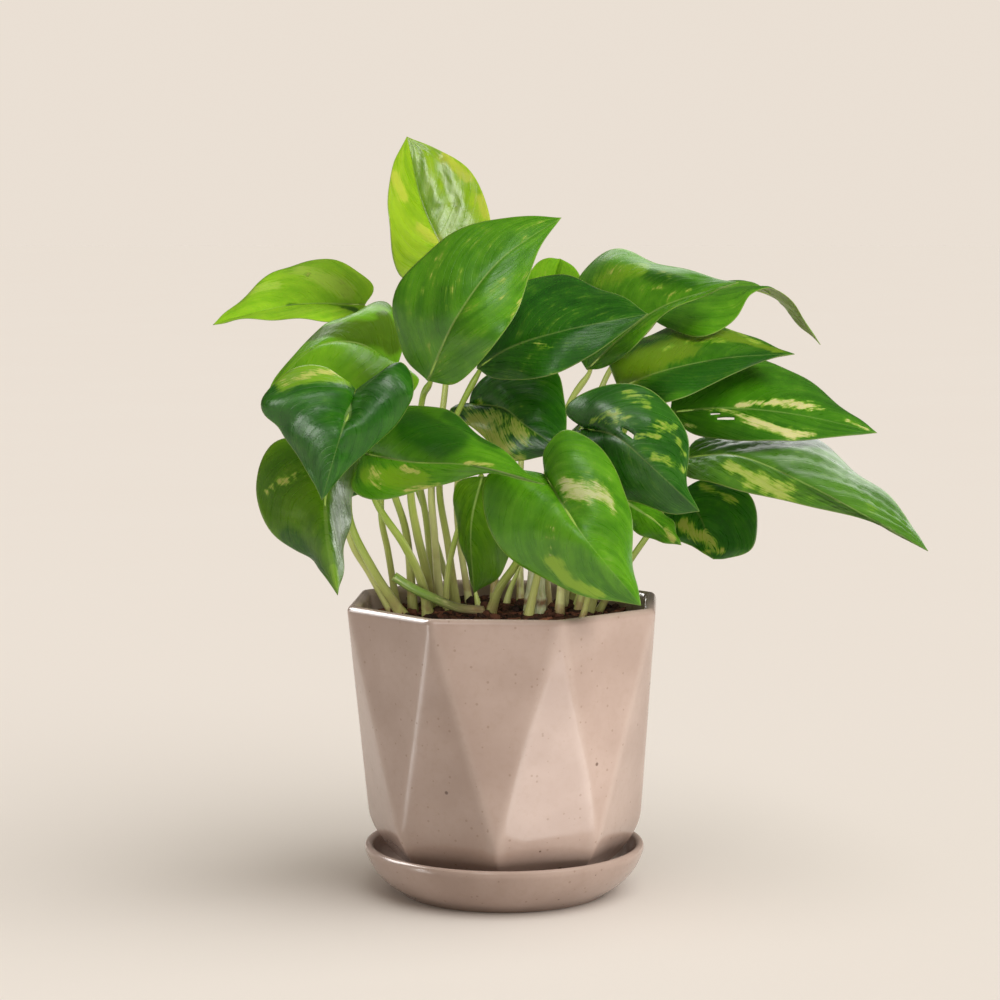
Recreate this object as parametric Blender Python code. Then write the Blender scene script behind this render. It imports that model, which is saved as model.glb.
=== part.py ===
"""Potted pothos: a faceted glazed pot on its saucer, soil, rooted stems and heart-shaped leaves.

Metres, +Z up. The origin is the centre of the saucer's underside, and the front of the plant is -Y.
"""
import math

import bpy
from mathutils import Vector

MM = 0.001
GAP = 0.3                      # clearance left between neighbouring pieces, mm

# Pot: an eight-sided antiprism, its upper corners turned half a step from its lower ones
SIDES = 8
POT_TOP = 108.0                # height of the lip
POT_TURN = 19.0                # angle of the first upper corner, from the front towards the right
RIM_RADIUS = 60.3              # to the corners of the rim
FOOT_RADIUS = 50.2             # to the lower corners, where the ridges end
FOOT_LEVEL = 24.0
POT_BOTTOM = 6.8
POT_WALL = 4.5
POT_FLOOR = 12.0
UNDER_ROUND = 17.0             # how far the underside is drawn in
UNDER_START = 29.5             # where the wall starts to turn under
DRAIN_RADIUS = 5.0
RIDGE_SHARPNESS = 160          # higher values give tighter ridges

# Saucer: a shallow round bowl with a rolled edge
SAUCER_TOP = 18.0
SAUCER_RADIUS = 51.6
SAUCER_FOOT = 39.0
SAUCER_FLOOR = 6.5

# Soil
SOIL_TOP = 100.5
SOIL_HEAP = 1.8

# Leaves and stalks
BLADE = 0.5                    # thickness of a leaf
LEAF_ROWS = 11
CAMBER = 0.07                  # how far each half bulges, as a share of its width
STALK_SIDES = 6
STALK_TOP = 1.05               # radius of a stalk just under its leaf

COLOURS = {
    "glaze": ((0.45, 0.33, 0.27), 0.22),
    "soil": ((0.05, 0.025, 0.015), 0.95),
    "leaf_light": ((0.30, 0.50, 0.05), 0.35),
    "leaf_mid": ((0.10, 0.30, 0.02), 0.32),
    "leaf_dark": ((0.03, 0.14, 0.01), 0.32),
    "stalk": ((0.35, 0.48, 0.13), 0.45),
    "cutting": ((0.58, 0.60, 0.38), 0.55),
}

# Each leaf: its tone, then points in millimetres along the midrib from the notch to the tip, and
# along the left and right margins between the same two ends. Left is seen with the tip pointing away.
LEAVES = {
    "crown": ("leaf_light",
              [(-19, 6, 229), (-30, 16, 252), (-36, 22, 277)],
              [(-37, 5, 225), (-42, 4, 249), (-41, 15, 266)],
              [(-7, 7, 229), (-5, 8, 246), (-14, 15, 266)]),
    "front_tall": ("leaf_mid",
                   [(-27, -36, 190), (-17, -46, 212), (-2, -42, 232), (20, -30, 247)],
                   [(-36, -35, 200), (-39, -34, 218), (-21, -32, 240), (2, -31, 247)],
                   [(-18, -41, 189), (-3, -54, 204), (5, -47, 216), (12, -37, 236)]),
    "far_left": ("leaf_light",
                 [(-52, 28, 215), (-79, 22, 215), (-107, 10, 208)],
                 [(-53, 23, 210), (-68, 8, 210), (-91, 8, 210)],
                 [(-49, 31, 221), (-60, 39, 230), (-75, 46, 231), (-91, 31, 224), (-100, 20, 215)]),
    "left_arch": ("leaf_light",
                  [(-39, 0, 193), (-53, -6, 202), (-68, -14, 201), (-86, -22, 182)],
                  [(-31, -7, 189), (-35, -13, 183), (-49, -24, 185), (-71, -24, 183)],
                  [(-37, 6, 204), (-44, 14, 216), (-60, 4, 210), (-77, -10, 197)]),
    "left_front": ("leaf_dark",
                   [(-52, -38, 187), (-56, -56, 174), (-63, -58, 150)],
                   [(-43, -40, 193), (-36, -42, 197), (-32, -44, 191), (-37, -48, 176), (-53, -54, 162)],
                   [(-61, -40, 195), (-75, -43, 194), (-84, -46, 183), (-77, -50, 172), (-66, -56, 157)]),
    "left_low": ("leaf_dark",
                 [(-55, -20, 163), (-63, -30, 151), (-63, -36, 137), (-59, -36, 114)],
                 [(-50, -18, 160), (-54, -14, 149), (-56, -21, 138), (-58, -31, 122)],
                 [(-68, -21, 169), (-82, -21, 167), (-89, -22, 151), (-83, -27, 136), (-65, -33, 123)]),
    "mid_left": ("leaf_mid",
                 [(-50, -30, 164), (-33, -42, 162), (-10, -58, 162), (14, -64, 156)],
                 [(-49, -30, 174), (-37, -30, 181), (-22, -30, 180), (-8, -43, 171), (5, -55, 162)],
                 [(-54, -39, 153), (-46, -46, 149), (-25, -52, 154), (-5, -58, 159)]),
    "centre_back": ("leaf_dark",
                    [(-13, 10, 179), (0, -2, 178), (7, -10, 173), (22, -20, 163)],
                    [(-11, 9, 185), (0, 6, 192), (18, 2, 192), (22, -7, 180)],
                    [(-20, 5, 177), (-10, -2, 170), (2, -12, 160), (15, -17, 162)]),
    "centre_dark": ("leaf_dark",
                    [(-10, -10, 193), (2, -18, 201), (20, -24, 207), (51, -22, 213)],
                    [(-7, -6, 205), (6, 0, 224), (20, 4, 226), (39, -11, 220)],
                    [(-3, -16, 190), (14, -30, 191), (30, -27, 198), (43, -24, 207)]),
    "behind_centre": ("leaf_light",
                      [(10, 25, 200), (16, 28, 217), (21, 34, 232)],
                      [(3, 25, 206), (6, 25, 219), (13, 31, 231)],
                      [(23, 25, 204), (30, 25, 217), (26, 31, 229)]),
    "upper_right": ("leaf_mid",
                    [(30, 0, 192), (43, -8, 205), (56, -10, 215), (84, -12, 224)],
                    [(23, 6, 204), (28, 16, 226), (40, 18, 235), (58, 5, 230), (72, -3, 226)],
                    [(36, -4, 193), (46, -14, 200), (55, -13, 211), (68, -13, 218)]),
    "far_right_top": ("leaf_mid",
                      [(54, 14, 210), (72, 16, 219), (93, 24, 222), (108, 28, 213), (118, 26, 200)],
                      [(60, 23, 214), (74, 42, 219), (92, 46, 221), (102, 42, 217), (111, 33, 208)],
                      [(60, 4, 207), (71, -8, 204), (83, -2, 210), (91, 9, 219), (98, 15, 222),
                       (106, 21, 217), (112, 24, 209)]),
    "right_upper": ("leaf_light",
                    [(41, -12, 186), (54, -20, 192), (77, -18, 197), (105, -6, 198)],
                    [(38, -2, 196), (49, 7, 203), (74, 20, 209), (91, 8, 203)],
                    [(46, -20, 182), (58, -34, 182), (71, -26, 187), (94, -12, 196)]),
    "right_mid": ("leaf_dark",
                  [(60, -6, 177), (78, -12, 179), (103, -12, 177), (136, 0, 169)],
                  [(62, -2, 183), (77, 6, 192), (97, 14, 195), (123, 5, 179)],
                  [(67, -11, 170), (90, -26, 168), (118, -10, 168)]),
    "right_round": ("leaf_dark",
                    [(28, -32, 173), (39, -44, 171), (52, -48, 160), (68, -46, 145)],
                    [(22, -33, 180), (34, -35, 188), (51, -38, 187), (63, -41, 173), (64, -44, 154)],
                    [(22, -33, 169), (27, -36, 154), (44, -40, 148), (60, -44, 144)]),
    "right_long": ("leaf_mid",
                   [(65, -12, 161), (82, -24, 163), (104, -38, 155), (148, -46, 131)],
                   [(69, -9, 167), (92, 0, 168), (114, 4, 166), (128, -14, 155), (142, -33, 142)],
                   [(64, -19, 156), (77, -36, 153), (103, -40, 147), (131, -43, 140)]),
    "right_low": ("leaf_dark",
                  [(64, -4, 148), (71, -14, 139), (75, -20, 125)],
                  [(73, -5, 152), (87, -6, 149), (92, -10, 140), (89, -14, 128), (80, -18, 125)],
                  [(59, -6, 145), (59, -10, 134), (70, -17, 128)]),
    "low_small": ("leaf_mid",
                  [(43, -18, 146), (54, -24, 139), (63, -28, 131)],
                  [(50, -19, 146), (59, -20, 140)],
                  [(42, -20, 140), (47, -22, 135), (56, -25, 132)]),
    "front_right": ("leaf_mid",
                    [(14, -46, 158), (21, -58, 147), (28, -64, 137), (47, -62, 114)],
                    [(14, -47, 167), (21, -47, 174), (33, -48, 167), (43, -53, 149), (45, -59, 124)],
                    [(5, -47, 160), (-6, -48, 158), (-7, -50, 144), (5, -54, 127), (29, -59, 117)]),
    "centre_low": ("leaf_dark",
                   [(-8, -8, 154), (-12, -16, 137), (-11, -22, 113)],
                   [(1, -7, 152), (4, -9, 135), (-1, -14, 119)],
                   [(-17, -10, 152), (-18, -12, 140), (-14, -18, 124)]),
    "back_top": ("leaf_mid",
                 [(-2, 30, 207), (-6, 64, 209), (-14, 95, 195)],
                 [(-13, 26, 204), (-29, 60, 206), (-25, 81, 203)],
                 [(7, 27, 203), (12, 62, 204), (2, 82, 201)]),
    "back_left": ("leaf_mid",
                  [(-45, 28, 187), (-59, 56, 181), (-70, 78, 160)],
                  [(-49, 15, 183), (-70, 34, 179), (-74, 56, 171)],
                  [(-36, 28, 182), (-44, 60, 175), (-57, 73, 169)]),
    "back_right": ("leaf_mid",
                   [(51, 32, 198), (68, 60, 199), (84, 88, 178)],
                   [(48, 39, 189), (63, 76, 187), (74, 87, 184)],
                   [(53, 20, 195), (74, 38, 199), (82, 62, 192)]),
    "back_low": ("leaf_dark",
                 [(30, 30, 172), (37, 58, 162), (42, 72, 135)],
                 [(23, 26, 166), (24, 58, 154), (31, 70, 145)],
                 [(37, 22, 167), (52, 50, 157), (50, 65, 147)]),
    "back_low_left": ("leaf_dark",
                      [(-39, 34, 160), (-59, 52, 157), (-75, 60, 131)],
                      [(-40, 21, 155), (-64, 30, 153), (-73, 45, 144)],
                      [(-34, 36, 150), (-51, 60, 142), (-65, 65, 137)]),
}

# Each leaf stalk: its foot on the soil (x, y), the bends on its way up, and its radius at the foot
STALKS = {
    "crown": ((-24, 21), [(-26, 12, 130), (-27, 10, 149), (-22, 10, 183)], 1.71),
    "front_tall": ((-27, 14), [(-29, 4, 118), (-32, -4, 133), (-34, -12, 150), (-31, -18, 172),
                               (-29, -24, 184)], 2.15),
    "far_left": ((-41, 12), [(-50, 10, 116), (-57, 8, 129), (-61, 10, 165), (-60, 20, 195)], 1.34),
    "left_arch": ((-40, 22), [(-43, 6, 125), (-45, -4, 140), (-43, -4, 168)], 1.46),
    "left_front": ((-34, 14), [(-36, -3, 133), (-40, -12, 148), (-49, -22, 176)], 1.83),
    "left_low": ((-36, 0), [(-48, -8, 120), (-56, -12, 139)], 2.15),
    "mid_left": ((-28, 4), [(-30, -5, 114), (-36, -14, 129), (-46, -22, 146)], 2.15),
    "centre_back": ((-13, 31), [(-18, 24, 142)], 1.46),
    "centre_dark": ((-18, 26), [(-21, 19, 125), (-24, 8, 150), (-19, -4, 172)], 1.71),
    "behind_centre": ((6, 28), [(6, 29, 150)], 1.46),
    "upper_right": ((16, 12), [(15, 8, 150), (24, 5, 180)], 1.83),
    "far_right_top": ((22, 22), [(27, 20, 150), (39, 25, 190)], 1.59),
    "right_upper": ((20, 4), [(24, 0, 150), (33, -7, 178)], 1.71),
    "right_mid": ((27, 13), [(38, 4, 142), (52, -1, 166)], 1.83),
    "right_round": ((8, -4), [(16, -13, 135), (24, -24, 160)], 1.71),
    "right_long": ((30, 5), [(41, -2, 130), (56, -8, 152)], 1.83),
    "right_low": ((34, 14), [(44, 5, 118), (53, 1, 132)], 1.46),
    "low_small": ((28, -4), [(34, -8, 122), (40, -13, 137)], 1.22),
    "front_right": ((-6, 2), [(-2, -11, 113), (5, -26, 126), (9, -38, 144)], 2.05),
    "centre_low": ((-22, 9), [(-21, 6, 116), (-18, 2, 130), (-12, -3, 147)], 1.34),
    "back_top": ((-4, 34), [(-3, 32, 150)], 1.59),
    "back_left": ((-27, 33), [(-30, 20, 140), (-38, 16, 170)], 1.59),
    "back_right": ((24, 33), [(40, 14, 158), (50, 22, 182)], 1.59),
    "back_low": ((14, 38), [(20, 38, 140)], 1.46),
    "back_low_left": ((-19, 39), [(-28, 40, 130)], 1.46),
}

# Bare pieces of stem standing in the soil: points, and radii at the foot and the top
CUTTINGS = {
    "stub": ([(-8, -4, 104.2), (-17, -9, 106), (-26, -12, 110), (-34, -13, 114), (-40, -13, 118)],
             1.7, 1.6),
    "cutting": ([(11, 5, 101.6), (11.5, 4.5, 110), (12, 4, 121)], 4.4, 3.4),
    "sheath_left": ([(-9, 15, 101.6), (-10, 14.5, 105), (-11, 14, 110)], 1.4, 0.4),
    "sheath_mid": ([(0, 21, 101.6), (2, 20, 108), (6, 18, 118)], 1.3, 0.4),
    "sheath_right": ([(27, 22, 101.6), (27.5, 21, 105), (29, 20, 110)], 1.5, 0.5),
}


def clear_scene():
    for item in list(bpy.data.objects):
        bpy.data.objects.remove(item, do_unlink=True)


def make_material(name):
    colour, roughness = COLOURS[name]
    material = bpy.data.materials.new(name)
    material.use_nodes = True
    shader = material.node_tree.nodes["Principled BSDF"]
    shader.inputs["Base Color"].default_value = (*colour, 1.0)
    shader.inputs["Roughness"].default_value = roughness
    shader.inputs["Metallic"].default_value = 0.0
    material.diffuse_color = (*colour, 1.0)
    return material


def add_object(name, verts, faces, material):
    """Make an object from vertices in millimetres."""
    mesh = bpy.data.meshes.new(name)
    mesh.from_pydata([Vector(v) * MM for v in verts], [], faces)
    mesh.materials.append(material)
    mesh.polygons.foreach_set("use_smooth", [True] * len(mesh.polygons))
    item = bpy.data.objects.new(name, mesh)
    bpy.context.scene.collection.objects.link(item)
    return item


def spline(points, steps=8):
    """Smooth curve through the points (centripetal Catmull-Rom), as a dense polyline."""
    knots = [Vector(p) for p in points]
    knots = [2 * knots[0] - knots[1]] + knots + [2 * knots[-1] - knots[-2]]
    curve = []
    for a, b, c, d in zip(knots, knots[1:], knots[2:], knots[3:]):
        t1 = (b - a).length ** 0.5
        t2 = t1 + (c - b).length ** 0.5
        t3 = t2 + (d - c).length ** 0.5
        for k in range(steps):
            t = t1 + (t2 - t1) * k / steps
            ab = a.lerp(b, t / t1)
            bc = b.lerp(c, (t - t1) / (t2 - t1))
            cd = c.lerp(d, (t - t2) / (t3 - t2))
            abc = ab.lerp(bc, t / t2)
            bcd = bc.lerp(cd, (t - t1) / (t3 - t1))
            curve.append(abc.lerp(bcd, (t - t1) / (t2 - t1)))
    curve.append(knots[-2])
    return curve


def resample(curve, shares):
    """Points at the given shares of the curve's length."""
    lengths = [0.0]
    for a, b in zip(curve, curve[1:]):
        lengths.append(lengths[-1] + (b - a).length)
    points = []
    for share in shares:
        goal = share * lengths[-1]
        k = 0
        while k < len(curve) - 2 and lengths[k + 1] < goal:
            k += 1
        span = lengths[k + 1] - lengths[k]
        points.append(curve[k].lerp(curve[k + 1], (goal - lengths[k]) / span))
    return points


def ridge_angles(level, between):
    """Angles round the pot at a height: its sixteen ridges, and points spaced evenly between them."""
    low = min(max((POT_TOP - level) / (POT_TOP - FOOT_LEVEL), 0.06), 0.94)
    step = math.radians(360 / SIDES)
    ridges = []
    for k in range(SIDES):
        middle = math.radians(POT_TURN) + k * step
        for side in (-1, 1):
            across = low * FOOT_RADIUS * math.sin(step / 2)
            along = (1 - low) * RIM_RADIUS + low * FOOT_RADIUS * math.cos(step / 2)
            ridges.append(middle + side * math.atan2(across, along))
    ridges.append(ridges[0] + 2 * math.pi)
    angles = []
    for a, b in zip(ridges, ridges[1:]):
        angles += [a + (b - a) * k / (between + 1) for k in range(between + 1)]
    return angles


def pot_planes():
    """The sixteen triangular faces of the pot's wall, as (normal, offset)."""
    step = math.radians(360 / SIDES)
    turn = math.radians(POT_TURN)

    def corner(angle, radius, level):
        return Vector((radius * math.sin(angle), -radius * math.cos(angle), level))

    planes = []
    for k in range(SIDES):
        top = corner(turn + k * step, RIM_RADIUS, POT_TOP)
        top_next = corner(turn + (k + 1) * step, RIM_RADIUS, POT_TOP)
        foot = corner(turn + (k + 0.5) * step, FOOT_RADIUS, FOOT_LEVEL)
        foot_back = corner(turn + (k - 0.5) * step, FOOT_RADIUS, FOOT_LEVEL)
        for a, b, c in ((top, foot_back, foot), (foot, top_next, top)):
            normal = (b - a).cross(c - a).normalized()
            planes.append((normal, normal.dot(a)))
    return planes


PLANES = pot_planes()


def wall_radius(angle, level):
    """Distance from the axis to the pot's outer wall, with the ridges slightly rounded."""
    total = 0.0
    for normal, offset in PLANES:
        facing = normal.x * math.sin(angle) - normal.y * math.cos(angle)
        if facing > 0.05:
            total += ((offset - normal.z * level) / facing) ** -RIDGE_SHARPNESS
    return total ** (-1 / RIDGE_SHARPNESS)


def under_inset(level):
    """How far the wall is drawn in where it turns under the pot."""
    if level >= UNDER_START:
        return 0.0
    drop = (UNDER_START - level) / (UNDER_START - POT_BOTTOM)
    return UNDER_ROUND * (1 - max(0.0, 1 - drop ** 1.7) ** (1 / 1.7))


def pot_ring(level, inset, between):
    ring = []
    for angle in ridge_angles(level, between):
        radius = wall_radius(angle, level) - inset
        ring.append((radius * math.sin(angle), -radius * math.cos(angle), level))
    return ring


def round_ring(level, radius, between):
    angles = ridge_angles(FOOT_LEVEL, between)
    return [(radius * math.sin(a), -radius * math.cos(a), level) for a in angles]


def join_rings(rings, closed):
    """Quads between rings of equal size; a closed stack also joins the last ring to the first."""
    size = len(rings[0])
    faces = []
    for i in range(len(rings) if closed else len(rings) - 1):
        low = i * size
        high = (i + 1) % len(rings) * size
        for k in range(size):
            n = (k + 1) % size
            faces.append((low + k, low + n, high + n, high + k))
    return faces


def inner_inset(level):
    """Inset of the pot's inner wall: the wall's thickness, more where it curves into the floor."""
    if level >= 34.0:
        return POT_WALL
    drop = min(1.0, (34.0 - level) / (34.0 - POT_FLOOR))
    return POT_WALL + 15.0 * (1 - max(0.0, 1 - drop ** 2) ** 0.5)


def make_pot(material):
    between = 3
    rings = [round_ring(POT_FLOOR, DRAIN_RADIUS, between), round_ring(POT_BOTTOM, DRAIN_RADIUS, between)]
    for level in (POT_BOTTOM, 7.6, 10.0, 14.0, 18.5, 23.5, UNDER_START):
        rings.append(pot_ring(level, under_inset(level), between))
    for level in (45.0, 65.0, 85.0, 105.5):
        rings.append(pot_ring(level, 0.0, between))
    for level, inset in ((107.3, 0.7), (POT_TOP, 2.2), (107.4, 3.8), (105.5, POT_WALL)):
        rings.append(pot_ring(level, inset, between))
    for level in (SOIL_TOP, 70.0, 34.0, 20.0, POT_FLOOR):
        rings.append(pot_ring(level, inner_inset(level), between))
    verts = [v for ring in rings for v in ring]
    return add_object("pot", verts, join_rings(rings, closed=True), material)


def make_soil(material):
    """The soil fills the pot up to its heaped top."""
    between = 3
    rings = [round_ring(POT_FLOOR + GAP, DRAIN_RADIUS, between)]
    rings.append(pot_ring(POT_FLOOR + GAP, inner_inset(POT_FLOOR) + GAP, between))
    for level in (20.0, 34.0, 70.0, SOIL_TOP - 1.0):
        rings.append(pot_ring(level, inner_inset(level) + 2 * GAP, between))
    for inset, rise in ((POT_WALL + 2.5, 0.0), (POT_WALL + 16.0, 0.4)):
        ring = pot_ring(SOIL_TOP - 1.0, inset, between)
        rings.append([(x, y, SOIL_TOP - 0.4 + rise) for x, y, z in ring])
    verts = [v for ring in rings for v in ring]
    size = len(rings[0])
    faces = join_rings(rings, closed=False)
    faces.append(tuple(reversed(range(size))))
    faces.append(tuple(range(len(verts) - size, len(verts))))
    return add_object("soil", verts, faces, material)


def make_saucer(material):
    """A bowl turned about the axis, flat underneath."""
    profile = [(SAUCER_FOOT - 1.5, 0.0), (SAUCER_FOOT, 0.8), (44.5, 4.6), (48.6, 9.2), (51.0, 14.0),
               (SAUCER_RADIUS, 16.4), (51.2, 17.6), (50.1, SAUCER_TOP), (48.9, 17.4), (48.2, 15.8),
               (46.6, 12.0), (43.4, 8.6), (39.0, 6.9), (36.0, SAUCER_FLOOR)]
    count = 48
    rings = []
    for radius, level in profile:
        turns = [2 * math.pi * k / count for k in range(count)]
        rings.append([(radius * math.sin(a), -radius * math.cos(a), level) for a in turns])
    verts = [v for ring in rings for v in ring]
    faces = join_rings(rings, closed=False)
    faces.append(tuple(reversed(range(count))))
    faces.append(tuple(range(len(verts) - count, len(verts))))
    return add_object("saucer", verts, faces, material)


def leaf_frame(midrib, left, right):
    """Direction of the midrib at the notch, and the normal of the upper side there."""
    along = (Vector(midrib[1]) - Vector(midrib[0])).normalized()
    across = Vector(right[len(right) // 2]) - Vector(left[len(left) // 2])
    return along, across.cross(along).normalized()


def make_leaf(name, material, midrib, left, right):
    """A thin blade: two cambered halves that meet along the midrib."""
    shares = [k / (LEAF_ROWS - 1) for k in range(LEAF_ROWS)]
    spine = resample(spline(midrib), [s ** 1.15 for s in shares])
    edges = []
    for margin in (left, right):
        edges.append(resample(spline([midrib[0], *margin, midrib[-1]]), shares))
    up = leaf_frame(midrib, left, right)[1]
    verts = [spine[0]]
    for row in range(1, LEAF_ROWS - 1):
        middle = spine[row]
        for edge, share in ((0, 1.0), (0, 0.5), (None, 0.0), (1, 0.5), (1, 1.0)):
            if edge is None:
                verts.append(middle)
                continue
            margin = edges[edge][row]
            bulge = CAMBER * 4 * share * (1 - share) * (margin - middle).length
            verts.append(middle.lerp(margin, share) + up * bulge)
    verts.append(spine[-1])
    faces = []
    tip = len(verts) - 1
    for k in range(4):
        faces.append((0, 1 + k, 2 + k))
        faces.append((tip, tip - 4 + k, tip - 5 + k))
        for row in range(LEAF_ROWS - 3):
            a = 1 + row * 5 + k
            faces.append((a, a + 5, a + 6, a + 1))
    blade = add_object(name, verts, faces, material)
    solid = blade.modifiers.new("thickness", "SOLIDIFY")
    solid.thickness = BLADE * MM
    solid.offset = 0.0
    return blade


def make_tube(name, material, points, radii, sides=STALK_SIDES, rings=8):
    """A tapering stalk along a smooth curve, closed at both ends."""
    path = resample(spline(points), [k / (rings - 1) for k in range(rings)])
    verts = []
    side = Vector((1, 0, 0))
    for k, centre in enumerate(path):
        ahead = (path[min(k + 1, rings - 1)] - path[max(k - 1, 0)]).normalized()
        side = (side - ahead * side.dot(ahead)).normalized()
        other = ahead.cross(side)
        radius = radii[0] + (radii[1] - radii[0]) * k / (rings - 1)
        for n in range(sides):
            turn = 2 * math.pi * n / sides
            verts.append(centre + (side * math.cos(turn) + other * math.sin(turn)) * radius)
    stack = [verts[k * sides:(k + 1) * sides] for k in range(rings)]
    faces = join_rings(stack, closed=False)
    faces.append(tuple(reversed(range(sides))))
    faces.append(tuple(range(len(verts) - sides, len(verts))))
    return add_object(name, verts, faces, material)


def stalk_points(name):
    """From just above the soil to just under the leaf's notch."""
    (x, y), bends, radius = STALKS[name]
    tone, midrib, left, right = LEAVES[name]
    along, up = leaf_frame(midrib, left, right)
    top = Vector(midrib[0]) - up * 2.1 - along * 0.9
    return [(x, y, SOIL_TOP + SOIL_HEAP), *bends, top]


def build():
    clear_scene()
    materials = {name: make_material(name) for name in COLOURS}
    make_saucer(materials["glaze"])
    make_pot(materials["glaze"])
    make_soil(materials["soil"])
    for name, (tone, midrib, left, right) in LEAVES.items():
        make_leaf("leaf_" + name, materials[tone], midrib, left, right)
        make_tube("stalk_" + name, materials["stalk"], stalk_points(name), (STALKS[name][2], STALK_TOP))
    for name, (points, foot, top) in CUTTINGS.items():
        make_tube(name, materials["cutting"], points, (foot, top), rings=5)


build()
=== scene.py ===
"""Potted pothos, the finished model: glazed pot and saucer, soil, stems, stalks and veined leaves.

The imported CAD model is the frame. Each CAD solid is stood for by a finer piece of the same shape,
made from the same points. Lengths in the data are millimetres. The front of the plant is -Y.
"""
import math
import random

import bmesh
import bpy
import numpy as np
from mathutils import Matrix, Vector, noise


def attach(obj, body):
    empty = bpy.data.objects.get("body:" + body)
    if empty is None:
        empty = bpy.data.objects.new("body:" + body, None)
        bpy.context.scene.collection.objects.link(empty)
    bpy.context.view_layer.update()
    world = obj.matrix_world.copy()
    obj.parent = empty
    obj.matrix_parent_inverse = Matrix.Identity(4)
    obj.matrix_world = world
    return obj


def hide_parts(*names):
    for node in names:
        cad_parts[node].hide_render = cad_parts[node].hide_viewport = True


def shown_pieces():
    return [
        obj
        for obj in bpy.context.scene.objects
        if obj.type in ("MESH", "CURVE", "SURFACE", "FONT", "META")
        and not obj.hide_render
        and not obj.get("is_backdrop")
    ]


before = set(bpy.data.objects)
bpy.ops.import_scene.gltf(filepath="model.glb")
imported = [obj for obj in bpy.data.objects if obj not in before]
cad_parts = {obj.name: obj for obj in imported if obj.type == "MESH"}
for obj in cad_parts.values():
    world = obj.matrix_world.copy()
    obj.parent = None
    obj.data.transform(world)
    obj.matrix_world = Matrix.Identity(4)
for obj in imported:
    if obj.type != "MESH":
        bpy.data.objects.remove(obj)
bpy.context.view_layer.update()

MM = 0.001

# Pot
SIDES = 8
POT_TOP = 108.0
POT_TURN = 19.0
RIM_RADIUS = 60.3
FOOT_RADIUS = 50.2
FOOT_LEVEL = 24.0
POT_BOTTOM = 6.8
LIP_START = 105.6              # where the wall begins to round over into the rim
POT_WALL = 4.5
POT_FLOOR = 12.0
BOWL_START = 34.0              # where the inner wall begins to curve into the floor
BOWL_ROUND = 15.0
UNDER_ROUND = 17.0
UNDER_START = 29.5
DRAIN_RADIUS = 5.0
RIDGE_SHARPNESS = 160          # a larger number makes the ridges of the wall crisper
BETWEEN_RIDGES = 15

# Saucer
SAUCER_TOP = 18.0
SAUCER_RADIUS = 51.6
SAUCER_FOOT = 39.0
SAUCER_FLOOR = 6.5

# Soil
SOIL_TOP = 100.5
SOIL_HEAP = 1.9
SOIL_RADIUS = 52.0
CRUMBS = 620
FIBRES = 120

# Leaves and stalks
BLADE = 0.5
CAMBER = 0.07
STALK_TOP = 1.05
RIB_RADIUS = 0.85              # of the stalk's run-on under the blade
ROWS = 64
ACROSS = (0.0, 0.015, 0.045, 0.09, 0.15, 0.22, 0.3, 0.39, 0.48, 0.57, 0.66, 0.75, 0.84, 0.91,
          0.96, 1.0)           # columns of a half blade, as shares of its width
MIDDLE = len(ACROSS) - 1       # column of the midrib
VEIN_LEAN = 0.50               # how far along the blade a side vein has run by the margin
MARGIN_WAVE = 0.6

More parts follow.
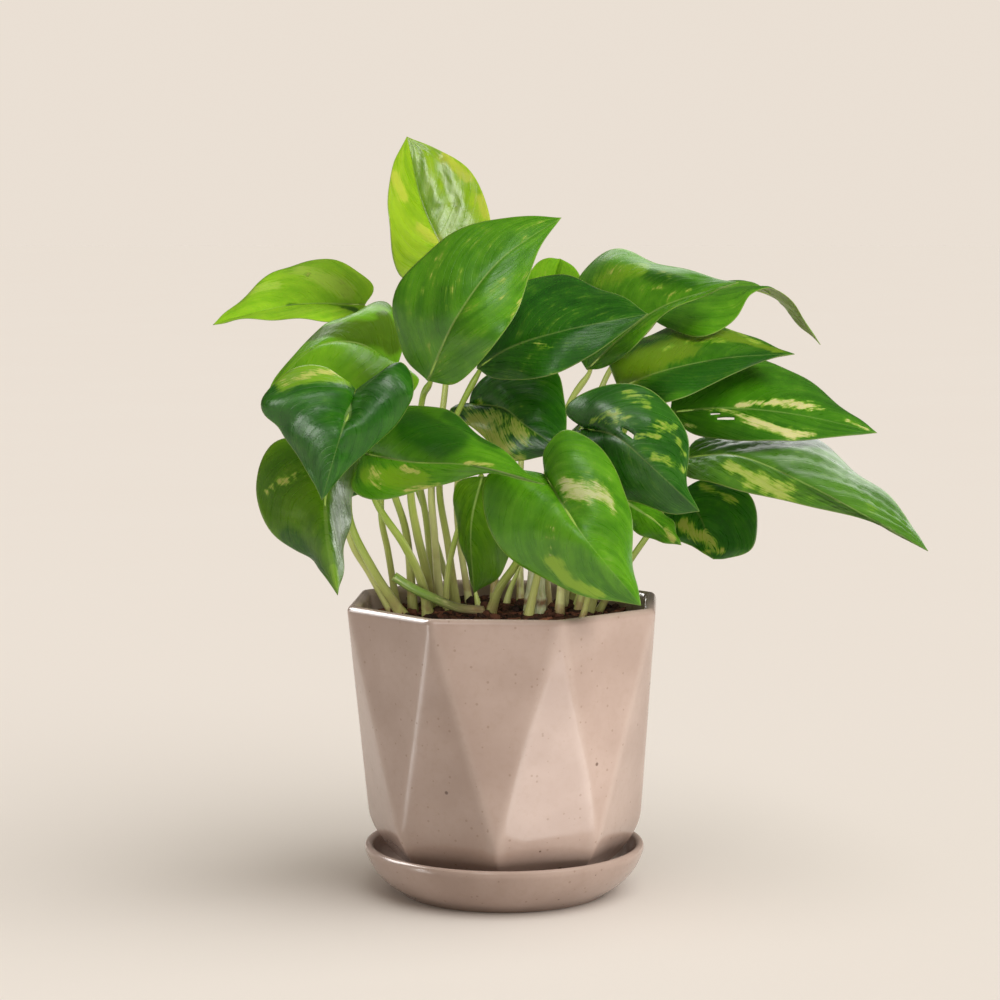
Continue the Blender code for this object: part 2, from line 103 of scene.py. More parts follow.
# Each leaf: its slot, then points along its midrib, its left margin and its right margin. The
# margins start at the midrib's first point, the notch, and end at its last, the tip.
LEAVES = {
    "crown": ("leaf_light",
        [(-19, 6, 229), (-30, 16, 252), (-36, 22, 277)],
        [(-37, 5, 225), (-42, 4, 249), (-41, 15, 266)],
        [(-7, 7, 229), (-5, 8, 246), (-14, 15, 266)]),
    "front_tall": ("leaf_mid",
        [(-27, -36, 190), (-17, -46, 212), (-2, -42, 232), (20, -30, 247)],
        [(-36, -35, 200), (-39, -34, 218), (-21, -32, 240), (2, -31, 247)],
        [(-18, -41, 189), (-3, -54, 204), (5, -47, 216), (12, -37, 236)]),
    "far_left": ("leaf_light",
        [(-52, 28, 215), (-79, 22, 215), (-107, 10, 208)],
        [(-53, 23, 210), (-68, 8, 210), (-91, 8, 210)],
        [(-49, 31, 221), (-60, 39, 230), (-75, 46, 231), (-91, 31, 224), (-100, 20, 215)]),
    "left_arch": ("leaf_light",
        [(-39, 0, 193), (-53, -6, 202), (-68, -14, 201), (-86, -22, 182)],
        [(-31, -7, 189), (-35, -13, 183), (-49, -24, 185), (-71, -24, 183)],
        [(-37, 6, 204), (-44, 14, 216), (-60, 4, 210), (-77, -10, 197)]),
    "left_front": ("leaf_dark",
        [(-52, -38, 187), (-56, -56, 174), (-63, -58, 150)],
        [(-43, -40, 193), (-36, -42, 197), (-32, -44, 191), (-37, -48, 176), (-53, -54, 162)],
        [(-61, -40, 195), (-75, -43, 194), (-84, -46, 183), (-77, -50, 172), (-66, -56, 157)]),
    "left_low": ("leaf_dark",
        [(-55, -20, 163), (-63, -30, 151), (-63, -36, 137), (-59, -36, 114)],
        [(-50, -18, 160), (-54, -14, 149), (-56, -21, 138), (-58, -31, 122)],
        [(-68, -21, 169), (-82, -21, 167), (-89, -22, 151), (-83, -27, 136), (-65, -33, 123)]),
    "mid_left": ("leaf_mid",
        [(-50, -30, 164), (-33, -42, 162), (-10, -58, 162), (14, -64, 156)],
        [(-49, -30, 174), (-37, -30, 181), (-22, -30, 180), (-8, -43, 171), (5, -55, 162)],
        [(-54, -39, 153), (-46, -46, 149), (-25, -52, 154), (-5, -58, 159)]),
    "centre_back": ("leaf_dark",
        [(-13, 10, 179), (0, -2, 178), (7, -10, 173), (22, -20, 163)],
        [(-11, 9, 185), (0, 6, 192), (18, 2, 192), (22, -7, 180)],
        [(-20, 5, 177), (-10, -2, 170), (2, -12, 160), (15, -17, 162)]),
    "centre_dark": ("leaf_dark",
        [(-10, -10, 193), (2, -18, 201), (20, -24, 207), (51, -22, 213)],
        [(-7, -6, 205), (6, 0, 224), (20, 4, 226), (39, -11, 220)],
        [(-3, -16, 190), (14, -30, 191), (30, -27, 198), (43, -24, 207)]),
    "behind_centre": ("leaf_light",
        [(10, 25, 200), (16, 28, 217), (21, 34, 232)],
        [(3, 25, 206), (6, 25, 219), (13, 31, 231)],
        [(23, 25, 204), (30, 25, 217), (26, 31, 229)]),
    "upper_right": ("leaf_mid",
        [(30, 0, 192), (43, -8, 205), (56, -10, 215), (84, -12, 224)],
        [(23, 6, 204), (28, 16, 226), (40, 18, 235), (58, 5, 230), (72, -3, 226)],
        [(36, -4, 193), (46, -14, 200), (55, -13, 211), (68, -13, 218)]),
    "far_right_top": ("leaf_mid",
        [(54, 14, 210), (72, 16, 219), (93, 24, 222), (108, 28, 213), (118, 26, 200)],
        [(60, 23, 214), (74, 42, 219), (92, 46, 221), (102, 42, 217), (111, 33, 208)],
        [(60, 4, 207), (71, -8, 204), (83, -2, 210), (91, 9, 219), (98, 15, 222), (106, 21, 217),
         (112, 24, 209)]),
    "right_upper": ("leaf_light",
        [(41, -12, 186), (54, -20, 192), (77, -18, 197), (105, -6, 198)],
        [(38, -2, 196), (49, 7, 203), (74, 20, 209), (91, 8, 203)],
        [(46, -20, 182), (58, -34, 182), (71, -26, 187), (94, -12, 196)]),
    "right_mid": ("leaf_dark",
        [(60, -6, 177), (78, -12, 179), (103, -12, 177), (136, 0, 169)],
        [(62, -2, 183), (77, 6, 192), (97, 14, 195), (123, 5, 179)],
        [(67, -11, 170), (90, -26, 168), (118, -10, 168)]),
    "right_round": ("leaf_dark",
        [(28, -32, 173), (39, -44, 171), (52, -48, 160), (68, -46, 145)],
        [(22, -33, 180), (34, -35, 188), (51, -38, 187), (63, -41, 173), (64, -44, 154)],
        [(22, -33, 169), (27, -36, 154), (44, -40, 148), (60, -44, 144)]),
    "right_long": ("leaf_mid",
        [(65, -12, 161), (82, -24, 163), (104, -38, 155), (148, -46, 131)],
        [(69, -9, 167), (92, 0, 168), (114, 4, 166), (128, -14, 155), (142, -33, 142)],
        [(64, -19, 156), (77, -36, 153), (103, -40, 147), (131, -43, 140)]),
    "right_low": ("leaf_dark",
        [(64, -4, 148), (71, -14, 139), (75, -20, 125)],
        [(73, -5, 152), (87, -6, 149), (92, -10, 140), (89, -14, 128), (80, -18, 125)],
        [(59, -6, 145), (59, -10, 134), (70, -17, 128)]),
    "low_small": ("leaf_mid",
        [(43, -18, 146), (54, -24, 139), (63, -28, 131)],
        [(50, -19, 146), (59, -20, 140)],
        [(42, -20, 140), (47, -22, 135), (56, -25, 132)]),
    "front_right": ("leaf_mid",
        [(14, -46, 158), (21, -58, 147), (28, -64, 137), (47, -62, 114)],
        [(14, -47, 167), (21, -47, 174), (33, -48, 167), (43, -53, 149), (45, -59, 124)],
        [(5, -47, 160), (-6, -48, 158), (-7, -50, 144), (5, -54, 127), (29, -59, 117)]),
    "centre_low": ("leaf_dark",
        [(-8, -8, 154), (-12, -16, 137), (-11, -22, 113)],
        [(1, -7, 152), (4, -9, 135), (-1, -14, 119)],
        [(-17, -10, 152), (-18, -12, 140), (-14, -18, 124)]),
    "back_top": ("leaf_mid",
        [(-2, 30, 207), (-6, 64, 209), (-14, 95, 195)],
        [(-13, 26, 204), (-29, 60, 206), (-25, 81, 203)],
        [(7, 27, 203), (12, 62, 204), (2, 82, 201)]),
    "back_left": ("leaf_mid",
        [(-45, 28, 187), (-59, 56, 181), (-70, 78, 160)],
        [(-49, 15, 183), (-70, 34, 179), (-74, 56, 171)],
        [(-36, 28, 182), (-44, 60, 175), (-57, 73, 169)]),
    "back_right": ("leaf_mid",
        [(51, 32, 198), (68, 60, 199), (84, 88, 178)],
        [(48, 39, 189), (63, 76, 187), (74, 87, 184)],
        [(53, 20, 195), (74, 38, 199), (82, 62, 192)]),
    "back_low": ("leaf_dark",
        [(30, 30, 172), (37, 58, 162), (42, 72, 135)],
        [(23, 26, 166), (24, 58, 154), (31, 70, 145)],
        [(37, 22, 167), (52, 50, 157), (50, 65, 147)]),
    "back_low_left": ("leaf_dark",
        [(-39, 34, 160), (-59, 52, 157), (-75, 60, 131)],
        [(-40, 21, 155), (-64, 30, 153), (-73, 45, 144)],
        [(-34, 36, 150), (-51, 60, 142), (-65, 65, 137)]),
}

# Each leaf stalk: its foot on the soil (x, y), the bends on its way up, and its radius at the foot
STALKS = {
    "crown": ((-24, 21), [(-26, 12, 130), (-27, 10, 149), (-22, 10, 183)], 1.71),
    "front_tall": ((-27, 14), [(-29, 4, 118), (-32, -4, 133), (-34, -12, 150),
        (-31, -18, 172), (-29, -24, 184)], 2.15),
    "far_left": ((-41, 12), [(-50, 10, 116), (-57, 8, 129), (-61, 10, 165), (-60, 20, 195)], 1.34),
    "left_arch": ((-40, 22), [(-43, 6, 125), (-45, -4, 140), (-43, -4, 168)], 1.46),
    "left_front": ((-34, 14), [(-36, -3, 133), (-40, -12, 148), (-49, -22, 176)], 1.83),
    "left_low": ((-36, 0), [(-48, -8, 120), (-56, -12, 139)], 2.15),
    "mid_left": ((-28, 4), [(-30, -5, 114), (-36, -14, 129), (-46, -22, 146)], 2.15),
    "centre_back": ((-13, 31), [(-18, 24, 142)], 1.46),
    "centre_dark": ((-18, 26), [(-21, 19, 125), (-24, 8, 150), (-19, -4, 172)], 1.71),
    "behind_centre": ((6, 28), [(6, 29, 150)], 1.46),
    "upper_right": ((16, 12), [(15, 8, 150), (24, 5, 180)], 1.83),
    "far_right_top": ((22, 22), [(27, 20, 150), (39, 25, 190)], 1.59),
    "right_upper": ((20, 4), [(24, 0, 150), (33, -7, 178)], 1.71),
    "right_mid": ((27, 13), [(38, 4, 142), (52, -1, 166)], 1.83),
    "right_round": ((8, -4), [(16, -13, 135), (24, -24, 160)], 1.71),
    "right_long": ((30, 5), [(41, -2, 130), (56, -8, 152)], 1.83),
    "right_low": ((34, 14), [(44, 5, 118), (53, 1, 132)], 1.46),
    "low_small": ((28, -4), [(34, -8, 122), (40, -13, 137)], 1.22),
    "front_right": ((-6, 2), [(-2, -11, 113), (5, -26, 126), (9, -38, 144)], 2.05),
    "centre_low": ((-22, 9), [(-21, 6, 116), (-18, 2, 130), (-12, -3, 147)], 1.34),
    "back_top": ((-4, 34), [(-3, 32, 150)], 1.59),
    "back_left": ((-27, 33), [(-30, 20, 140), (-38, 16, 170)], 1.59),
    "back_right": ((24, 33), [(40, 14, 158), (50, 22, 182)], 1.59),
    "back_low": ((14, 38), [(20, 38, 140)], 1.46),
    "back_low_left": ((-19, 39), [(-28, 40, 130)], 1.46),
}

# Bare pieces of stem in the soil: points, radius at the top, and how much wider the foot is and how
# soon it narrows
CUTTINGS = {
    "stub": ([(-8, -4, 104.2), (-17, -9, 106), (-26, -12, 110), (-34, -13, 114), (-40, -13, 118)],
        1.6, 0.15, 1.0),
    "cutting": ([(11, 5, 101.6), (11.5, 4.5, 110), (12, 4, 121)], 3.3, 1.1, 1.5),
    "sheath_left": ([(-9, 15, 101.6), (-10, 14.5, 105), (-11, 14, 110)], 0.25, 1.5, 0.7),
    "sheath_mid": ([(0, 21, 101.6), (2, 20, 108), (6, 18, 118)], 0.25, 1.4, 0.7),
    "sheath_right": ([(27, 22, 101.6), (27.5, 21, 105), (29, 20, 110)], 0.25, 1.6, 0.7),
}


# ---------------------------------------------------------------- node helpers

class Look:
    """A material under construction: short calls that add and link its nodes."""

    def __init__(self, name):
        self.material = bpy.data.materials.new(name)
        self.material.use_nodes = True
        self.tree = self.material.node_tree
        self.shader = self.tree.nodes["Principled BSDF"]

    def put(self, socket, value):
        if isinstance(value, bpy.types.NodeSocket):
            self.tree.links.new(value, socket)
        elif hasattr(value, "__len__") and len(value) == 3 and socket.type == "RGBA":
            socket.default_value = (*value, 1.0)
        else:
            socket.default_value = value

    def node(self, kind, inputs=(), **settings):
        """Add a node, with its settings and with (input, value or output) pairs."""
        made = self.tree.nodes.new("ShaderNode" + kind)
        for key, value in settings.items():
            setattr(made, key, value)
        for key, value in inputs:
            self.put(made.inputs[key], value)
        return made

    def attribute(self, name):
        return self.node("Attribute", attribute_name=name).outputs["Fac"]

    def place(self):
        return self.node("TexCoord").outputs["Object"]

    def maths(self, operation, a, b=0.0):
        return self.node("Math", [(0, a), (1, b)], operation=operation).outputs[0]

    def total(self, *terms):
        result = terms[0]
        for term in terms[1:]:
            result = self.maths("ADD", result, term)
        return result

    def times(self, a, b):
        return self.maths("MULTIPLY", a, b)

    def weigh(self, shift, *pairs):
        """Sum of values, each times its weight, and a shift."""
        return self.total(*[self.times(value, weight) for value, weight in pairs], shift)

    def step(self, value, low, high, start=0.0, end=1.0):
        """Smooth change from start to end while the value goes from low to high."""
        inputs = [("Value", value), ("From Min", low), ("From Max", high), ("To Min", start),
                  ("To Max", end)]
        return self.node("MapRange", inputs, interpolation_type="SMOOTHSTEP").outputs["Result"]

    def vector(self, x, y, z):
        return self.node("CombineXYZ", [(0, x), (1, y), (2, z)]).outputs[0]

    def noise(self, vector, scale, detail=2.0, roughness=0.5):
        inputs = [("Vector", vector), ("Scale", scale), ("Detail", detail), ("Roughness", roughness)]
        return self.node("TexNoise", inputs).outputs["Fac"]

    def specks(self, vector, scale, share, size):
        """Round specks in some of the cells of a random cell pattern, as a mask."""
        cells = self.node("TexVoronoi", [("Vector", vector), ("Scale", scale)])
        draw = self.node("SeparateColor", [(0, cells.outputs["Color"])]).outputs[0]
        room = self.step(draw, 1.0 - share, 1.0, 0.0, size)
        inside = self.maths("SUBTRACT", room, cells.outputs["Distance"])
        return self.step(inside, 0.0, size * 0.35)

    def mix(self, factor, a, b):
        return self.node("Mix", [(0, factor), (6, a), (7, b)], data_type="RGBA").outputs[2]

    def bump(self, height, distance, strength):
        inputs = [("Strength", strength), ("Distance", distance), ("Height", height)]
        return self.node("Bump", inputs).outputs[0]

    def finish(self, colour, roughness, normal=None, **constants):
        self.put(self.shader.inputs["Base Color"], colour)
        self.put(self.shader.inputs["Roughness"], roughness)
        if normal is not None:
            self.put(self.shader.inputs["Normal"], normal)
        for key, value in constants.items():
            self.shader.inputs[key.replace("_", " ")].default_value = value
        return self.material


# ---------------------------------------------------------------- shape helpers

def smooth(low, high, value):
    """Smooth change from 0 to 1 while the value goes from low to high."""
    share = np.clip((np.asarray(value, float) - low) / (high - low), 0.0, 1.0)
    return share * share * (3 - 2 * share)


def add_piece(name, verts, faces, material, node=None, attributes=None):
    """A smooth-shaded piece from vertices in millimetres, riding on the body."""
    mesh = bpy.data.meshes.new(name)
    mesh.from_pydata([tuple(c * MM for c in v) for v in verts], [], faces)
    mesh.materials.append(material)
    mesh.polygons.foreach_set("use_smooth", [True] * len(mesh.polygons))
    for key, values in (attributes or {}).items():
        layer = mesh.attributes.new(key, "FLOAT", "POINT")
        layer.data.foreach_set("value", np.asarray(values, np.float32))
    mesh.validate()
    piece = bpy.data.objects.new(name, mesh)
    bpy.context.scene.collection.objects.link(piece)
    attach(piece, "root")
    if node:
        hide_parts(node)
    return piece


def spline(points, steps=8):
    """Smooth curve through the points (centripetal Catmull-Rom), as a dense polyline."""
    knots = [Vector(p) for p in points]
    knots = [2 * knots[0] - knots[1]] + knots + [2 * knots[-1] - knots[-2]]
    curve = []
    for a, b, c, d in zip(knots, knots[1:], knots[2:], knots[3:]):
        t1 = (b - a).length ** 0.5
        t2 = t1 + (c - b).length ** 0.5
        t3 = t2 + (d - c).length ** 0.5
        for k in range(steps):
            t = t1 + (t2 - t1) * k / steps
            ab = a.lerp(b, t / t1)
            bc = b.lerp(c, (t - t1) / (t2 - t1))
            cd = c.lerp(d, (t - t2) / (t3 - t2))
            abc = ab.lerp(bc, t / t2)
            bcd = bc.lerp(cd, (t - t1) / (t3 - t1))
            curve.append(abc.lerp(bcd, (t - t1) / (t2 - t1)))
    curve.append(knots[-2])
    return curve


def resample(curve, shares):
    """Points at the given shares of the curve's length."""
    spots = np.array([tuple(p) for p in curve])
    lengths = np.concatenate([[0.0], np.cumsum(np.linalg.norm(np.diff(spots, axis=0), axis=1))])
    goals = np.asarray(shares) * lengths[-1]
    return np.stack([np.interp(goals, lengths, spots[:, k]) for k in range(3)], axis=1)


def join_rings(rings, closed):
    """Quads between rings of equal size; a closed stack also joins the last ring to the first."""
    size = len(rings[0])
    faces = []
    for i in range(len(rings) if closed else len(rings) - 1):
        low = i * size
        high = (i + 1) % len(rings) * size
        for k in range(size):
            n = (k + 1) % size
            faces.append((low + k, low + n, high + n, high + k))
    return faces


def cap_fans(rings, faces, verts):
    """Close both ends of a stack of rings with a fan to a middle point."""
    size = len(rings[0])
    last = (len(rings) - 1) * size
    for start, turn in ((0, -1), (last, 1)):
        middle = len(verts)
        verts.append(tuple(np.mean(rings[0 if start == 0 else -1], axis=0)))
        for k in range(size):
            n = (k + 1) % size
            a, b = (start + k, start + n) if turn > 0 else (start + n, start + k)
            faces.append((a, b, middle))


# ---------------------------------------------------------------- pot, saucer

def ridge_angles(level, between):
    """Angles round the pot at a height: its sixteen ridges, and points between, closest by them."""
    low = min(max((POT_TOP - level) / (POT_TOP - FOOT_LEVEL), 0.06), 0.94)
    step = math.radians(360 / SIDES)
    ridges = []
    for k in range(SIDES):
        middle = math.radians(POT_TURN) + k * step
        for side in (-1, 1):
            across = low * FOOT_RADIUS * math.sin(step / 2)
            along = (1 - low) * RIM_RADIUS + low * FOOT_RADIUS * math.cos(step / 2)
            ridges.append(middle + side * math.atan2(across, along))
    ridges.append(ridges[0] + 2 * math.pi)
    angles = []
    for a, b in zip(ridges, ridges[1:]):
        for k in range(between + 1):
            share = k / (between + 1)
            share -= math.sin(2 * math.pi * share) / (2 * math.pi) * 0.8
            angles.append(a + (b - a) * share)
    return angles


def pot_planes():
    """The sixteen triangular faces of the pot's wall, as (normal, offset)."""
    step = math.radians(360 / SIDES)
    turn = math.radians(POT_TURN)

    def corner(angle, radius, level):
        return Vector((radius * math.sin(angle), -radius * math.cos(angle), level))

    planes = []
    for k in range(SIDES):
        top = corner(turn + k * step, RIM_RADIUS, POT_TOP)
        top_next = corner(turn + (k + 1) * step, RIM_RADIUS, POT_TOP)
        foot = corner(turn + (k + 0.5) * step, FOOT_RADIUS, FOOT_LEVEL)
        foot_back = corner(turn + (k - 0.5) * step, FOOT_RADIUS, FOOT_LEVEL)
        for a, b, c in ((top, foot_back, foot), (foot, top_next, top)):
            normal = (b - a).cross(c - a).normalized()
            planes.append((normal, normal.dot(a)))
    return planes


PLANES = pot_planes()


def wall_radius(angle, level):
    """Distance from the axis to the pot's outer wall, with the ridges slightly rounded."""
    total = 0.0
    for normal, offset in PLANES:
        facing = normal.x * math.sin(angle) - normal.y * math.cos(angle)
        if facing > 0.05:
            total += ((offset - normal.z * level) / facing) ** -RIDGE_SHARPNESS
    return total ** (-1 / RIDGE_SHARPNESS)


def under_inset(level):
    """How far the wall is drawn in where it turns under the pot."""
    if level >= UNDER_START:
        return 0.0
    drop = (UNDER_START - level) / (UNDER_START - POT_BOTTOM)
    return UNDER_ROUND * (1 - max(0.0, 1 - drop ** 1.7) ** (1 / 1.7))


def inner_inset(level):
    """Inset of the pot's inner wall: the wall's thickness, more where it curves into the floor."""
    if level >= BOWL_START:
        return POT_WALL
    drop = min(1.0, (BOWL_START - level) / (BOWL_START - POT_FLOOR))
    return POT_WALL + BOWL_ROUND * (1 - max(0.0, 1 - drop ** 2) ** 0.5)


def pot_ring(level, inset, between=BETWEEN_RIDGES):
    """Points round the pot at a height, drawn in from its outer wall."""
    ring = []
    for angle in ridge_angles(level, between):
        radius = wall_radius(angle, level) - inset
        ring.append((radius * math.sin(angle), -radius * math.cos(angle), level))
    return ring


def round_ring(level, radius):
    """A circle with as many points as a ring of the pot."""
    angles = ridge_angles(FOOT_LEVEL, BETWEEN_RIDGES)
    return [(radius * math.sin(a), -radius * math.cos(a), level) for a in angles]


def ridge_nearness(level):
    """How close each point of a ring is to a ridge: 1 on it, 0 half-way between two."""
    share = np.array(ridge_angles(level, BETWEEN_RIDGES))
    marks = share[::BETWEEN_RIDGES + 1]
    radius = RIM_RADIUS - 10 * (POT_TOP - level) / (POT_TOP - FOOT_LEVEL)
    gaps = np.abs((share[:, None] - marks[None, :] + math.pi) % (2 * math.pi) - math.pi) * radius
    return 1.0 - smooth(0.4, 3.0, gaps.min(axis=1))


def make_pot(material):
    """Rings from the drain hole out under the pot, up its wall, over the rim and down inside."""
    rings = [round_ring(POT_FLOOR, DRAIN_RADIUS), round_ring(POT_BOTTOM, DRAIN_RADIUS)]
    for share in np.linspace(0.0, 1.0, 15):
        level = POT_BOTTOM + (UNDER_START - POT_BOTTOM) * share ** 1.5
        rings.append(pot_ring(level, under_inset(level)))
    for level in np.linspace(UNDER_START, LIP_START - 0.3, 32)[1:]:
        rings.append(pot_ring(level, 0.0))
    for turn in np.linspace(0.0, math.pi, 13):
        level = LIP_START + (POT_TOP - LIP_START) * math.sin(turn)
        rings.append(pot_ring(level, POT_WALL / 2 * (1 - math.cos(turn))))
    for level in np.linspace(LIP_START - 0.4, POT_FLOOR, 24):
        rings.append(pot_ring(level, inner_inset(level)))
    # ridge: 1 near the wall's ridges and over the rim, where the glaze is drawn paler, partly as
    # thin glaze and partly as a painted highlight
    ridge = []
    for ring in rings:
        level = ring[0][2]
        near = ridge_nearness(level) * float(smooth(UNDER_START - 12, UNDER_START, level))
        rim = float(smooth(LIP_START, POT_TOP, level))
        ridge += list(np.maximum(near, rim))
    verts = [v for ring in rings for v in ring]
    faces = join_rings(rings, closed=True)
    add_piece("glazed_pot", verts, faces, material, "pot", {"ridge": ridge})


def make_saucer(material):
    """A bowl turned about the axis, flat underneath: radius and height along its section."""
    section = [(SAUCER_FOOT - 1.5, 0.0), (SAUCER_FOOT - 0.4, 0.25), (SAUCER_FOOT, 0.8), (44.5, 4.6),
               (48.6, 9.2), (51.0, 14.0), (SAUCER_RADIUS, 16.4), (51.2, 17.6),
               (50.1, SAUCER_TOP), (48.9, 17.4), (48.2, 15.8), (46.6, 12.0),
               (43.4, 8.6), (39.0, 6.9), (36.0, SAUCER_FLOOR)]
    count = 128
    turns = [2 * math.pi * k / count for k in range(count)]
    rings = []
    ridge = []
    for radius, level in spline(section, steps=5):
        radius = min(radius, SAUCER_RADIUS)
        level = min(max(level, 0.0), SAUCER_TOP)
        rings.append([(radius * math.sin(a), -radius * math.cos(a), level) for a in turns])
        # ridge: 1 over the rim, where the glaze is drawn paler, partly as thin glaze and partly as a
        # painted highlight
        ridge += [float(smooth(SAUCER_TOP - 1.6, SAUCER_TOP, level))] * count
    verts = [v for ring in rings for v in ring]
    faces = join_rings(rings, closed=False)
    cap_fans(rings, faces, verts)
    ridge += [0.0, 0.0]
    add_piece("glazed_saucer", verts, faces, material, "saucer", {"ridge": ridge})


def glaze_look():
    """Cloudy taupe glaze with iron specks of two sizes; paler on the ridges and the rim, partly as
    thin glaze and partly as a painted highlight.
    """
    look = Look("glaze_taupe")
    place = look.place()
    ridge = look.attribute("ridge")
    cloud = look.noise(place, 42.0, 3.0)
    mottle = look.noise(place, 420.0, 2.0, 0.6)
    colour = look.mix(look.step(cloud, 0.3, 0.7), (0.385, 0.285, 0.240), (0.445, 0.338, 0.290))
    colour = look.mix(look.times(look.step(mottle, 0.45, 0.75), 0.16), colour, (0.33, 0.235, 0.18))
    # Paler glaze on the ridges and the rim: partly thin glaze, partly a painted highlight
    thin = look.times(ridge, look.step(mottle, 0.2, 0.7, 0.10, 0.28))
    colour = look.mix(thin, colour, (0.56, 0.46, 0.41))
    fine = look.specks(place, 520.0, 0.30, 0.30)
    coarse = look.specks(place, 150.0, 0.22, 0.17)
    colour = look.mix(look.times(fine, 0.40), colour, (0.20, 0.125, 0.085))
    colour = look.mix(look.times(coarse, 0.85), colour, (0.105, 0.06, 0.042))
    rough = look.step(look.noise(place, 90.0, 2.0), 0.3, 0.7, 0.16, 0.25)
    height = look.total(look.noise(place, 160.0, 2.0), look.times(coarse, -0.5))
    normal = look.bump(height, 0.00025, 0.35)
    return look.finish(colour, rough, normal, Coat_Weight=0.25, Coat_Roughness=0.12)


# ---------------------------------------------------------------- soil

def soil_height(x, y):
    """Height of the soil's surface: a low heap with clods."""
    reach = math.hypot(x, y) / SOIL_RADIUS
    heap = SOIL_HEAP * max(0.0, 1.0 - reach ** 2)
    clods = 1.5 * noise.noise(Vector((x, y, 3.0)) * 0.13)
    clods += 0.9 * noise.noise(Vector((x, y, 9.0)) * 0.33)
    clods += 0.45 * noise.noise(Vector((x, y, 17.0)) * 0.85)
    return SOIL_TOP - 0.5 + heap + clods


def make_soil(material):
    """The plug that fills the pot's inside, up to a cloddy surface."""
    between = 7
    rings = [pot_ring(POT_FLOOR + 0.3, inner_inset(POT_FLOOR) + 0.3, between)]
    for level in (16.0, 20.0, 26.0, 34.0, 70.0, 97.0):
        rings.append(pot_ring(level, inner_inset(level) + 0.6, between))
    edge = pot_ring(SOIL_TOP - 1.0, POT_WALL + 0.6, between)
    for share in np.linspace(1.0, 0.02, 46):
        spots = [(x * share, y * share) for x, y, _ in edge]
        rings.append([(x, y, soil_height(x, y)) for x, y in spots])
    verts = [v for ring in rings for v in ring]
    faces = join_rings(rings, closed=False)
    cap_fans(rings, faces, verts)
    data = {"shade": [0.3] * len(verts)}
    add_piece("potting_soil", verts, faces, material, "soil", data)


def unit_lump():
    """Points and faces of a once-divided icosahedron."""
    shape = bmesh.new()
    bmesh.ops.create_icosphere(shape, subdivisions=2, radius=1.0)
    verts = [v.co.copy() for v in shape.verts]
    faces = [tuple(v.index for v in f.verts) for f in shape.faces]
    shape.free()
    return verts, faces


def scatter(chance, radius):
    """A random place on the soil, evenly spread within the radius."""
    reach = radius * math.sqrt(chance.random())
    turn = chance.uniform(0, 2 * math.pi)
    return reach * math.cos(turn), reach * math.sin(turn)


def make_crumbs(material):
    """Loose crumbs and flat bark chips lying on the soil."""
    chance = random.Random(11)
    lump_verts, lump_faces = unit_lump()
    verts = []
    faces = []
    shade = []
    for _ in range(CRUMBS):
        x, y = scatter(chance, SOIL_RADIUS - 1.5)
        size = chance.choice((0.5, 0.7, 1.0, 1.3, 1.7, 2.4)) * chance.uniform(0.8, 1.25)
        chip = chance.random() < 0.6
        scale = Vector((size * (1.9 if chip else 1.1), size * 0.85, size * (0.4 if chip else 0.8)))
        tilt = Vector((chance.uniform(-0.5, 0.5), chance.uniform(-0.5, 0.5), 1)).normalized()
        rotation = tilt.to_track_quat("Z", "X").to_matrix()
        angle = chance.uniform(0, 2 * math.pi)
        c, s = math.cos(angle), math.sin(angle)
        seed = Vector((chance.uniform(0, 50), chance.uniform(0, 50), 0))
        shade += [chance.uniform(0.0, 1.0)] * len(lump_verts)
        faces += [tuple(len(verts) + i for i in f) for f in lump_faces]
        centre = Vector((x, y, soil_height(x, y) + scale.z * 0.35))
        for v in lump_verts:
            bumpy = v * (1.0 + 0.75 * noise.noise(v * 1.5 + seed)) * scale
            turned = Vector((bumpy.x * c - bumpy.y * s, bumpy.x * s + bumpy.y * c, bumpy.z))
            verts.append(tuple(centre + rotation @ turned))
    add_piece("soil_crumbs", verts, faces, material, None, {"shade": shade})


def make_fibres(material):
    """Curled coir fibres on the soil."""
    chance = random.Random(5)
    verts = []
    faces = []
    shade = []
    for _ in range(FIBRES):
        x, y = scatter(chance, SOIL_RADIUS - 3.0)
        heading = chance.uniform(0, 2 * math.pi)
        points = []
        for n in range(5):
            rise = 0.35 + 1.3 * chance.random() * math.sin(math.pi * n / 4)
            points.append((x, y, soil_height(x, y) + rise))
            pace = chance.uniform(1.0, 2.8)
            heading += chance.uniform(-0.8, 0.8)
            x += pace * math.cos(heading)
            y += pace * math.sin(heading)
            if math.hypot(x, y) > SOIL_RADIUS - 2.5:
                break
        if len(points) < 3:
            continue
        thick = chance.uniform(0.12, 0.28)
        tube_into(verts, faces, points, lambda share: thick * (1 - 0.5 * share), 6, 12)
        shade += [chance.uniform(0.55, 1.0)] * (len(verts) - len(shade))
    add_piece("coir_fibres", verts, faces, material, None, {"shade": shade})


def soil_look():
    """Dark peat with redder, paler crumbs and fibres."""
    look = Look("soil_dark")
    place = look.place()
    grain = look.noise(place, 900.0, 4.0, 0.7)
    broad = look.noise(place, 130.0, 2.0)
    tone = look.weigh(-0.22, (look.attribute("shade"), 0.55), (grain, 0.5), (broad, 0.25))
    colour = look.mix(look.step(tone, 0.1, 0.75), (0.018, 0.009, 0.006), (0.115, 0.042, 0.022))
    colour = look.mix(look.step(tone, 0.62, 0.95), colour, (0.30, 0.110, 0.052))
    normal = look.bump(grain, 0.0006, 0.8)
    return look.finish(colour, 0.92, normal, Specular_IOR_Level=0.25)


# ---------------------------------------------------------------- stalks

